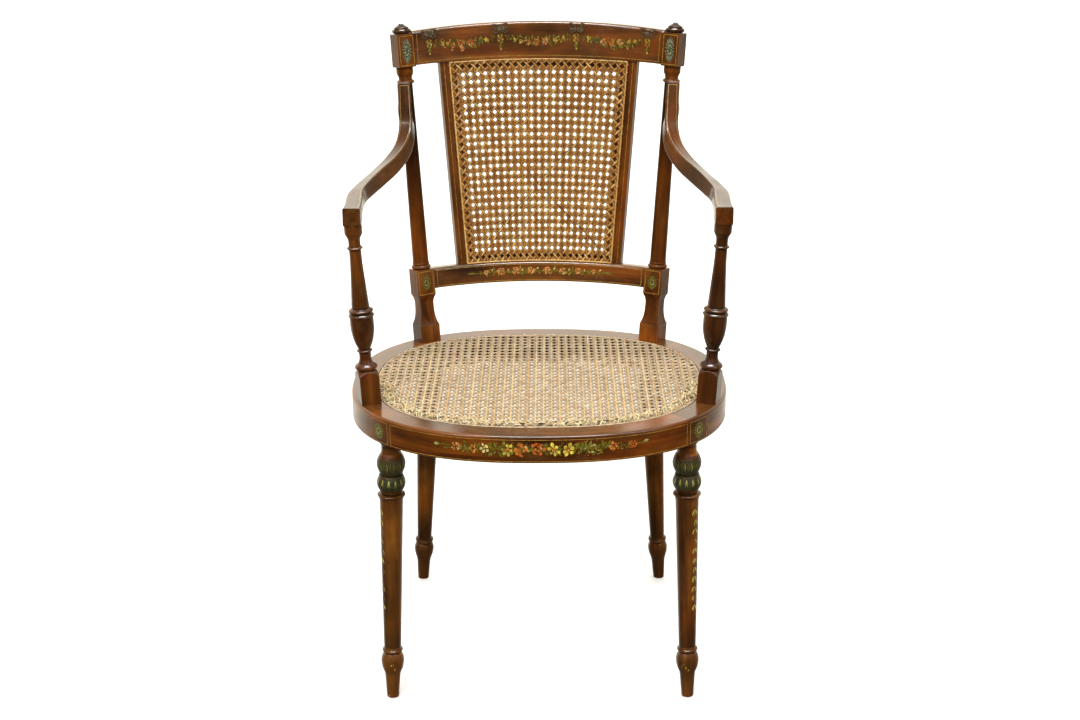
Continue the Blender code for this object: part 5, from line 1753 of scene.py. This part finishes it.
def tuft(brush, u, v, turns, sway, rise, lengths, full=1.0):
    """Leaves at one place of a trail, near the given angles."""
    for turn in turns:
        foliage(brush, u + chance.uniform(-0.003, 0.003), v + chance.uniform(-rise, rise) * full,
                turn + chance.uniform(-sway, sway), chance.uniform(*lengths) * full)


def dab(brush, u, v):
    """Small touch of light paint among the leaves."""
    tint = chance.choice((YELLOW, CREAM, PALE_GREEN, PALE_GREEN, ORANGE))
    size = chance.uniform(0.0012, 0.0026)
    brush.leaf(u, v, chance.uniform(0, 360), size, size * 0.5, blend(tint, BROWN, 0.4), varied(tint, 0.3))


FLOWER_KINDS = {
    "rose": (rose, RED, ORANGE),
    "salmon": (rose, ORANGE, SALMON),
    "pale_rose": (rose, LEAF_GREEN, CREAM),
    "yellow": (daisy, YELLOW, ORANGE),
    "cream": (daisy, CREAM, YELLOW),
    "orange": (daisy, ORANGE, BROWN),
    "blue": (daisy, BLUE_GREEN, DARK_GREEN),
}


def flower(brush, kind, u, v, radius):
    paint, first, second = FLOWER_KINDS[kind]
    paint(brush, u, v, radius, first, second)


def patera(brush, u, v, half_width, half_height, light, dark):
    """Oval rosette: thin separate rays round a ring of dots with a dark middle."""
    stretch = half_height / half_width
    brush.spot(u, v, half_width * 0.86, blend(dark, BROWN, 0.55), blend(dark, BROWN, 0.95), stretch)
    rays = 18
    for k in range(rays):
        angle = math.tau * (k + 0.5) / rays
        across = math.cos(angle) * half_width
        rise = math.sin(angle) * half_height
        heading = math.degrees(math.atan2(rise, across))
        reach = math.hypot(across, rise) * chance.uniform(0.40, 0.56)
        tint = blend(light, dark, chance.uniform(0.0, 0.5))
        brush.leaf(u + across * 0.46, v + rise * 0.46, heading, reach, half_width * 0.13, tint,
                   blend(tint, dark, 0.4), 0, 0.8)
    brush.spot(u, v, half_width * 0.42, dark, blend(dark, BROWN, 0.4), stretch)
    for k in range(9):
        angle = math.tau * k / 9
        brush.spot(u + half_width * 0.32 * math.cos(angle), v + half_height * 0.32 * math.sin(angle),
                   half_width * 0.10, varied(blend(light, CREAM, 0.3), 0.3))
    brush.spot(u, v, half_width * 0.17, blend(dark, BROWN, 0.5), dark, stretch)


# Where the painting goes

CREST_FACE = rail_face(crest_bottom, crest_top, CREST_HEIGHT)
LOWER_FACE = rail_face(lower_bottom, lower_top, LOWER_RAIL_HEIGHT)
# Gold frames of the back rails: left, right, bottom and top
CREST_FRAME = (-0.1855, 0.1855, 0.0034, CREST_HEIGHT - 0.0052)
CREST_FRAME_WEAR = (0.6, 0.5, 0.95, 0.5)
LOWER_FRAME = (-0.1610, 0.1610, 0.0026, LOWER_RAIL_HEIGHT - 0.0040)
SEAT_GOLD_LOW = 0.0026
SEAT_GOLD_HIGH = RAIL_HEIGHT - RAIL_EDGE_ROUND - 0.0010
# Gold lines from the joints of the seat ring: on the front rail, the front blocks and the side rails
FRONT_GOLD_INSET = 0.0036
BLOCK_GOLD_INSET = 0.0026
SIDE_GOLD_INSETS = (0.0024, 0.0030)
POST_GOLD_INSETS = (0.0026, 0.0028)   # from the sides and the ends of a post's blocks
ARM_GOLD_START = 0.0034          # cross line below the arm's upper end
ARM_GOLD_END = 0.0040
ARM_GOLD_LENGTH = 0.45           # share of the arm's length that the outer line has kept
# Half widths and half heights of the rosettes
SEAT_ROSETTE = (0.0126, 0.0138)
CREST_ROSETTE = (0.0090, 0.0205)
LOWER_ROSETTE = (0.0088, 0.0126)
STILE_GOLD = 0.0062              # gold line on a stile, outward from its middle
SWAG_HEIGHT = 0.0310             # ends of the garlands above the crest's lower edge
SWAG_SAG = 0.0085
POSIES = (-0.167, -0.057, 0.057, 0.167)   # from the middle of the crest
BOW_HEIGHTS = (0.0415, 0.0405, 0.0405, 0.0415)
# Flowers of the garlands: share of the way along, offset up, kind and radius
SWAG_FLOWERS = (
    ((0.20, 0.0005, "yellow", 0.0031), (0.27, 0.0015, "yellow", 0.0026), (0.34, -0.0010, "orange", 0.0040),
     (0.46, 0.0012, "rose", 0.0056), (0.47, -0.0068, "salmon", 0.0034), (0.59, 0.0014, "rose", 0.0050),
     (0.71, 0.0010, "blue", 0.0044), (0.81, 0.0010, "yellow", 0.0034)),
    ((0.19, -0.0012, "yellow", 0.0028), (0.27, -0.0016, "yellow", 0.0034), (0.36, -0.0022, "rose", 0.0044),
     (0.47, -0.0016, "rose", 0.0048), (0.59, -0.0008, "salmon", 0.0047), (0.72, 0.0000, "yellow", 0.0036),
     (0.83, 0.0004, "yellow", 0.0030)),
    ((0.17, 0.0016, "yellow", 0.0034), (0.27, 0.0006, "blue", 0.0042), (0.38, 0.0012, "salmon", 0.0046),
     (0.49, 0.0014, "rose", 0.0052), (0.61, 0.0024, "salmon", 0.0048), (0.73, 0.0024, "yellow", 0.0034),
     (0.82, 0.0022, "yellow", 0.0030)),
)
FRONT_TRAIL_HEIGHT = 0.0205
# Flowers of the front rail: place from its middle, kind and radius
FRONT_FLOWERS = (
    (-0.111, "salmon", 0.0066), (-0.087, "orange", 0.0058), (-0.071, "cream", 0.0070),
    (-0.041, "yellow", 0.0094), (-0.023, "rose", 0.0102), (0.000, "rose", 0.0106),
    (0.0205, "yellow", 0.0100), (0.0395, "yellow", 0.0098), (0.071, "pale_rose", 0.0078),
    (0.100, "orange", 0.0068), (0.126, "rose", 0.0062),
)
FRONT_LEAVES = (55, 125, -55, -125, 80, -80, 30, 210)   # angles of the leaves at each place of a trail
LOWER_LEAVES = (60, 120, -60, -120, 20, 200)
LOWER_TRAIL_HEIGHT = 0.0165
LOWER_STEM = ((-0.112, 0.001), (-0.08, 0.0), (0.08, 0.0), (0.112, 0.001))   # places and drops
LOWER_FLOWERS = ((-0.083, 0.0036), (-0.059, 0.0062), (-0.036, 0.0060), (-0.013, 0.0060),
                 (0.012, 0.0062), (0.036, 0.0060), (0.060, 0.0052), (0.084, 0.0036))


def paint_crest():
    gold = Faces()
    edge = Brush(gold, CREST_FACE)
    edge.frame(*CREST_FRAME, CREST_FRAME_WEAR)
    gold.gilded("crest_gold_lines")
    flowers = Faces()
    brush = Brush(flowers, CREST_FACE)
    for start, end, garland in zip(POSIES, POSIES[1:], SWAG_FLOWERS):
        swag(brush, start, end, garland)
    for u, v in zip(POSIES, BOW_HEIGHTS):
        posy(brush, u, v)
    flowers.painted("crest_garlands")


def paint_lower_rail():
    gold = Faces()
    edge = Brush(gold, LOWER_FACE)
    edge.frame(*LOWER_FRAME)
    gold.gilded("lower_rail_gold_lines")
    flowers = Faces()
    brush = Brush(flowers, LOWER_FACE)
    level = LOWER_TRAIL_HEIGHT
    brush.line([(u, level - drop) for u, drop in LOWER_STEM], 0.0010, LEAF_GREEN)
    for side in HANDS:
        outward = 0 if side > 0 else 180
        brush.leaf(side * 0.096, level, outward, 0.015, 0.0018, DARK_GREEN, PALE_GREEN, side * 8)
        leaf_pair(brush, side * 0.089, level, outward, 0.0052)
    for k in range(17):
        tuft(brush, -0.080 + 0.010 * k, level, LOWER_LEAVES, 20, 0.002, (0.0055, 0.0085))
    for u, radius in LOWER_FLOWERS:
        rose(brush, u, level + chance.uniform(-0.001, 0.0015), radius, ORANGE, SALMON)
        bud(brush, u + 0.009, level + chance.uniform(-0.003, 0.003), chance.uniform(20, 70), 0.0042, SALMON)
    flowers.painted("lower_rail_trail")


def paint_seat():
    gold = Faces()
    edge = Brush(gold, seat_face)
    ends = (SEAT_GOLD_LOW, SEAT_GOLD_HIGH)
    block_near = arc_length(-FRONT_BLOCK_END)
    block_far = arc_length(-FRONT_BLOCK_START)
    rear = arc_length(REAR_JOINT_ANGLE)
    edge.frame(FRONT_GOLD_INSET - block_near, block_near - FRONT_GOLD_INSET, *ends)
    for side in HANDS:
        for start, end in ((block_near + BLOCK_GOLD_INSET, block_far - BLOCK_GOLD_INSET),
                           (block_far + SIDE_GOLD_INSETS[0], rear - SIDE_GOLD_INSETS[1])):
            edge.frame(*sorted((side * start, side * end)), *ends)
    gold.gilded("seat_gold_lines")
    rosettes = Faces()
    brush = Brush(rosettes, seat_face)
    for side in HANDS:
        middle = side * (block_near + block_far) / 2
        patera(brush, middle, sum(ends) / 2, *SEAT_ROSETTE, PALE_GREEN, DARK_GREEN)
    rosettes.painted("seat_rosettes")
    paint_front_trail()


def paint_front_trail():
    """Trail of flowers along the front rail, with a thin stem and a pale bud at each end."""
    flowers = Faces()
    brush = Brush(flowers, seat_face)
    level = FRONT_TRAIL_HEIGHT
    stem = [(-0.140 + 0.29 * k / 24, level + 0.0012 * math.sin(k * 0.9)) for k in range(25)]
    brush.line(stem, 0.0008, LEAF_GREEN)
    bud(brush, -0.134, level + 0.001, 180, 0.0085, PALE_GREEN)
    bud(brush, 0.142, level + 0.002, 12, 0.0085, PALE_GREEN)
    for k in range(29):
        u = -0.124 + 0.0087 * k
        full = 0.55 if abs(u) > 0.1 else 1.0
        tuft(brush, u, level, FRONT_LEAVES, 18, 0.004, (0.0060, 0.0095), full)
    for u in (-0.056, 0.056, 0.061, 0.088):
        leaf_pair(brush, u, level, chance.uniform(60, 120), 0.0090)
    for u, kind, radius in FRONT_FLOWERS:
        flower(brush, kind, u, level + chance.uniform(-0.0012, 0.0012), radius)
    for _ in range(110):
        u = chance.uniform(-0.115, 0.130)
        dab(brush, u, level + chance.uniform(-0.010, 0.010) * (0.5 if abs(u) > 0.09 else 1.0))
    flowers.painted("front_rail_trail")


def paint_posts():
    blocks = (
        (CREST_BLOCK_BOTTOM, CREST_BLOCK_TOP, CREST_BLOCK_SIDE, CREST_ROSETTE, PALE_BLUE, BLUE_GREEN),
        (LOWER_BLOCK_BOTTOM, LOWER_BLOCK_TOP, LOWER_BLOCK_SIDE, LOWER_ROSETTE, PALE_GREEN, DARK_GREEN),
    )
    for word, side in SIDES:
        gold = Faces()
        paint = Faces()
        for low, high, width, half_size, light, dark in blocks:
            face = block_face(post_matrix(side), width)
            reach = width / 2 - POST_GOLD_INSETS[0]
            Brush(gold, face).frame(-reach, reach, low + POST_GOLD_INSETS[1], high - POST_GOLD_INSETS[1])
            patera(Brush(paint, face), 0.0, (low + high) / 2, *half_size, light, dark)
        gold.gilded("post_gold_lines_" + word)
        paint.painted("post_rosettes_" + word)


def paint_stiles():
    gold = Faces()
    low = lower_top(ABOUT_STILE) + 0.001
    high = crest_bottom(ABOUT_STILE) - 0.001
    for _, side in SIDES:
        brush = Brush(gold, stile_face(side))
        brush.line([(STILE_GOLD, low), (STILE_GOLD, high)], GOLD_WIDTH, GOLD, 0.5)
    gold.gilded("stile_gold_lines")


def paint_arms():
    for word, side in SIDES:
        frames = arm_frames(side)
        lengths = [station[-1] for station in frames]

        def face(u, v, lift):
            after, share = find(lengths, v)
            stations = zip(frames[after - 1][:3], frames[after][:3])
            point, across, back = (first.lerp(second, share) for first, second in stations)
            return point + across * u - back * lift

        gold = Faces()
        brush = Brush(gold, face)
        halves = [(station[-1], station[3] - ARM_FACE_ROUND - 0.0004) for station in frames]
        inner = [(half, v) for v, half in halves if ARM_GOLD_START < v < lengths[-1] - ARM_GOLD_END]
        first_half, start = inner[0]
        upper = [(half, v) for half, v in inner if v < ARM_GOLD_LENGTH * lengths[-1]]
        brush.line([(-side * half, v) for half, v in inner], GOLD_WIDTH * 0.8, PALE_GOLD, 0.4)
        brush.line([(side * half, v) for half, v in upper], GOLD_WIDTH, GOLD, 0.6)
        brush.line([(-first_half, start), (first_half, start)], GOLD_WIDTH, GOLD, 0.3)
        gold.gilded("arm_gold_lines_" + word)


def outline_radius(outline, height):
    """Radius of a turned outline, listed from the top down, at a height."""
    for (high, first), (low, second) in zip(outline, outline[1:]):
        if low <= height <= high and high > low:
            return first + (second - first) * (high - height) / (high - low)
    return outline[-1][1]


# Angle of the trail from the front of the leg, and how worn it is
HUSK_TRAILS = {"left": (56.0, 1.0), "right": (40.0, 0.20)}
LEG_AROUND = math.tau * BULB_RADIUS
RING_STEPS = 48
BULB_BANDS = 14
BULB_LEAVES = 13


def paint_husks(brush, trail, wear):
    """Worn trail of small leaf pairs down a leg, some of them gone."""
    for k in range(11):
        v = 0.292 - 0.0145 * k + chance.uniform(-0.0012, 0.0012)
        fading = chance.uniform(0.0, wear)
        size = chance.uniform(0.0092, 0.0115)
        for lean, tint in ((-52, YELLOW), (52, CREAM), (-16, PALE_GREEN)):
            if chance.random() < 0.85:
                brush.leaf(trail + chance.uniform(-0.0010, 0.0010), v, -90 + lean, size, size * 0.25,
                           blend(HUSK, BROWN, fading), blend(varied(tint, 0.3), BROWN, fading), -lean)


def leg_ring(brush, height, width, tint, amount):
    """Band of paint all round a leg, its tint varied by an amount."""
    ring = [(LEG_AROUND * share, height) for share in shares(RING_STEPS)]
    brush.ribbon(ring, [width] * len(ring), [varied(tint, amount) for _ in ring])


def paint_bulbs(brush, top, groove, foot):
    """Green paint on both bulbs, rubbed off towards the neck and the collar, with painted shade in the groove
    between.
    """
    shelf = groove - BULB_GROOVE_HEIGHT
    for high, low in ((top - 0.0040, groove + 0.0004), (shelf - 0.0004, foot + 0.0030)):
        width = (high - low) / BULB_BANDS + 0.0001
        for k in range(BULB_BANDS):
            bare = 1 - 4 * k / BULB_BANDS if high > groove else 5 * k / BULB_BANDS - 4
            tint = blend(OLIVE, BROWN, max(0.0, bare))
            leg_ring(brush, between(high, low, (k + 0.5) / BULB_BANDS), width, tint, 0.35)
    # Painted shade in the groove between the bulbs
    leg_ring(brush, groove - BULB_GROOVE_HEIGHT / 2, BULB_GROOVE_HEIGHT - 0.0007, GROOVE_SHADE, 0.4)


def paint_shelf(paint, matrix, height):
    """Green paint on the level shelf between the bulbs."""
    corners = []
    for radius in (BULB_GROOVE_RADIUS, LOWER_BULB_SHELF + 0.0002):
        for k in range(RING_STEPS):
            c, s = circle(360 * k / RING_STEPS)
            corners.append(matrix @ Vector((radius * c, radius * s, height)))
    faces = []
    for k in range(RING_STEPS):
        after = (k + 1) % RING_STEPS
        faces.append((k, after, RING_STEPS + after, RING_STEPS + k))
    paint.add(corners, [varied(OLIVE, 0.4) for _ in corners], faces)


def paint_bulb_leaves(brush, groove):
    """Pale leaf strokes that rise on the upper bulb and hang on the lower one."""
    low = groove + 0.003
    high = groove - BULB_GROOVE_HEIGHT - 0.0030
    for k in range(BULB_LEAVES):
        u = LEG_AROUND * (k + 0.3) / BULB_LEAVES
        for lean, tint in ((28, PALE_GREEN), (-28, YELLOW)):
            tip = blend(OLIVE, tint, chance.uniform(0.3, 0.8))
            brush.leaf(u, low, 90 + lean, 0.0185, 0.0010, OLIVE, tip, -1.9 * lean)
        brush.leaf(u, low + 0.002, 90, 0.0135, 0.0008, OLIVE, LEAF_GREEN)
        u = LEG_AROUND * (k + 0.8) / BULB_LEAVES
        for lean, tint in ((13, YELLOW), (-13, CREAM)):
            base = blend(OLIVE, tint, chance.uniform(0.4, 0.95))
            brush.leaf(u, high, -90 + lean, 0.0125, 0.0011, base, OLIVE, -1.6 * lean)
        brush.leaf(u, high - 0.001, -90, 0.0100, 0.0009, PALE_GREEN, OLIVE)


def paint_chips(brush, side):
    """Pale chips round the toe, and a few on the inner side of the ankle."""
    for _ in range(9):
        u = chance.uniform(0, LEG_AROUND)
        brush.spot(u, chance.uniform(0.0024, 0.0042), chance.uniform(0.0008, 0.0018), varied(CHIP, 0.3))
    for _ in range(5):
        u = -side * chance.uniform(-0.002, 0.016)
        v = chance.uniform(0.046, 0.062)
        brush.spot(u, v, chance.uniform(0.0007, 0.0016), varied(HUSK, 0.3), BROWN)


def paint_legs():
    """Green bulbs with pale leaf strokes, and a trail of husks down the outer front of each front leg."""
    for word, side in SIDES:
        matrix, length = front_leg_place(side)
        outline = front_leg_outline(length)

        def surface(u, v, lift):
            angle = u / BULB_RADIUS - math.pi / 2
            reach = outline_radius(outline, v) + lift
            return matrix @ Vector((reach * math.cos(angle), reach * math.sin(angle), v))

        paint = Faces()
        brush = Brush(paint, surface)
        top, groove, foot = bulb_levels(length)
        paint_bulbs(brush, top, groove, foot)
        paint_shelf(paint, matrix, groove - BULB_GROOVE_HEIGHT + 0.0005)
        paint_bulb_leaves(brush, groove)
        turn, wear = HUSK_TRAILS[word]
        paint_husks(brush, side * math.radians(turn) * BULB_RADIUS, wear)
        paint_chips(brush, side)
        paint.painted("leg_painting_" + word)


# Stage

def build_camera():
    pitch_c, pitch_s = circle(CAMERA_PITCH)
    yaw_c, yaw_s = circle(CAMERA_YAW)
    roll_c, roll_s = circle(CAMERA_ROLL)
    forward = Vector((yaw_s * pitch_c, yaw_c * pitch_c, pitch_s))
    level = Vector((yaw_c, -yaw_s, 0.0))
    up = level.cross(forward)
    right = level * roll_c + up * roll_s
    above = up * roll_c - level * roll_s
    data = bpy.data.cameras.new("camera")
    data.sensor_fit = "HORIZONTAL"
    data.sensor_width = SENSOR_WIDTH
    data.lens = FOCAL_PIXELS / PICTURE_WIDTH * SENSOR_WIDTH
    camera = bpy.data.objects.new("camera", data)
    matrix = Matrix((right, above, -forward)).transposed().to_4x4()
    matrix.translation = CAMERA_PLACE
    camera.matrix_world = matrix
    bpy.context.scene.collection.objects.link(camera)
    bpy.context.scene.camera = camera


def add_lamp(name, data, place, target):
    """Lamp at a place that points at a target."""
    lamp = bpy.data.objects.new(name, data)
    lamp.location = place
    lamp.rotation_euler = (Vector(target) - Vector(place)).to_track_quat("-Z", "Y").to_euler()
    bpy.context.scene.collection.objects.link(lamp)
    return lamp


def soft_sun(name, place, spread, strength):
    """Even light from one side, without highlights, as soft as a disc that is spread degrees across."""
    data = bpy.data.lights.new(name, "SUN")
    data.energy = strength
    data.angle = math.radians(spread)
    add_lamp(name, data, place, (0, 0, 0)).visible_glossy = False


def soft_box(name, place, size, power):
    """Lamp that only shows as a highlight in polish."""
    data = bpy.data.lights.new(name, "AREA")
    data.shape = "RECTANGLE"
    data.size, data.size_y = size
    data.energy = power
    lamp = add_lamp(name, data, place, LIT_POINT)
    lamp.visible_camera = False
    lamp.visible_diffuse = False


def build_world():
    """White room: dim in front of the chair and below, brighter above, brightest low down behind it.

    The right side is a little dimmer than the left.
    """
    world = bpy.data.worlds.new("studio")
    bpy.context.scene.world = world
    world.use_nodes = True
    tree = world.node_tree
    direction = add_node(tree, "ShaderNodeTexCoord").outputs["Generated"]
    split = add_node(tree, "ShaderNodeSeparateXYZ", None, {0: direction})
    height = span(tree, split.outputs["Z"], -1.0, 1.0)
    behind = span(tree, split.outputs["Y"], 0.05, 0.6)
    front_light, back_light = (
        ramp(tree, height, *((level, (light, light, light)) for level, light in stops))
        for stops in (FRONT_LIGHT, BACK_LIGHT))
    sideways = span(tree, split.outputs["X"], 0.1, 0.7, BACKDROP, 0.6 * BACKDROP)
    backdrop = math_node(tree, "MULTIPLY", behind, math_node(tree, "MULTIPLY", back_light, sideways))
    background = tree.nodes["Background"]
    tree.links.new(math_node(tree, "ADD", front_light, backdrop), background.inputs["Strength"])
    background.inputs["Color"].default_value = ROOM_COLOUR


def build_floor():
    mesh = bpy.data.meshes.new("floor")
    reach = FLOOR_REACH
    mesh.from_pydata([(-reach, -reach, 0), (reach, -reach, 0), (reach, reach, 0), (-reach, reach, 0)], [],
                     [(0, 1, 2, 3)])
    floor = bpy.data.objects.new("floor", mesh)
    mesh.materials.append(floor_material("pale_floor"))
    floor.visible_glossy = False
    floor.visible_diffuse = False
    bpy.context.scene.collection.objects.link(floor)


def build_stage():
    build_floor()
    build_world()
    for name, settings in SUNS.items():
        soft_sun(name, *settings)
    for name, settings in SOFT_BOXES.items():
        soft_box(name, *settings)
    bpy.context.scene.view_settings.view_transform = "Standard"


build_seat_ring()
build_legs()
build_back()
build_arms()
build_seat_cane()
build_back_cane()
paint_crest()
paint_lower_rail()
paint_seat()
paint_posts()
paint_stiles()
paint_arms()
paint_legs()
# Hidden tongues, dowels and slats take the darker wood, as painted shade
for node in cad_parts.values():
    if node.name.startswith(("tongue_", "arm_dowel_", "cane_slat_")):
        node.data.materials.clear()
        node.data.materials.append(SHADED_INNER_WOOD)
build_stage()
build_camera()
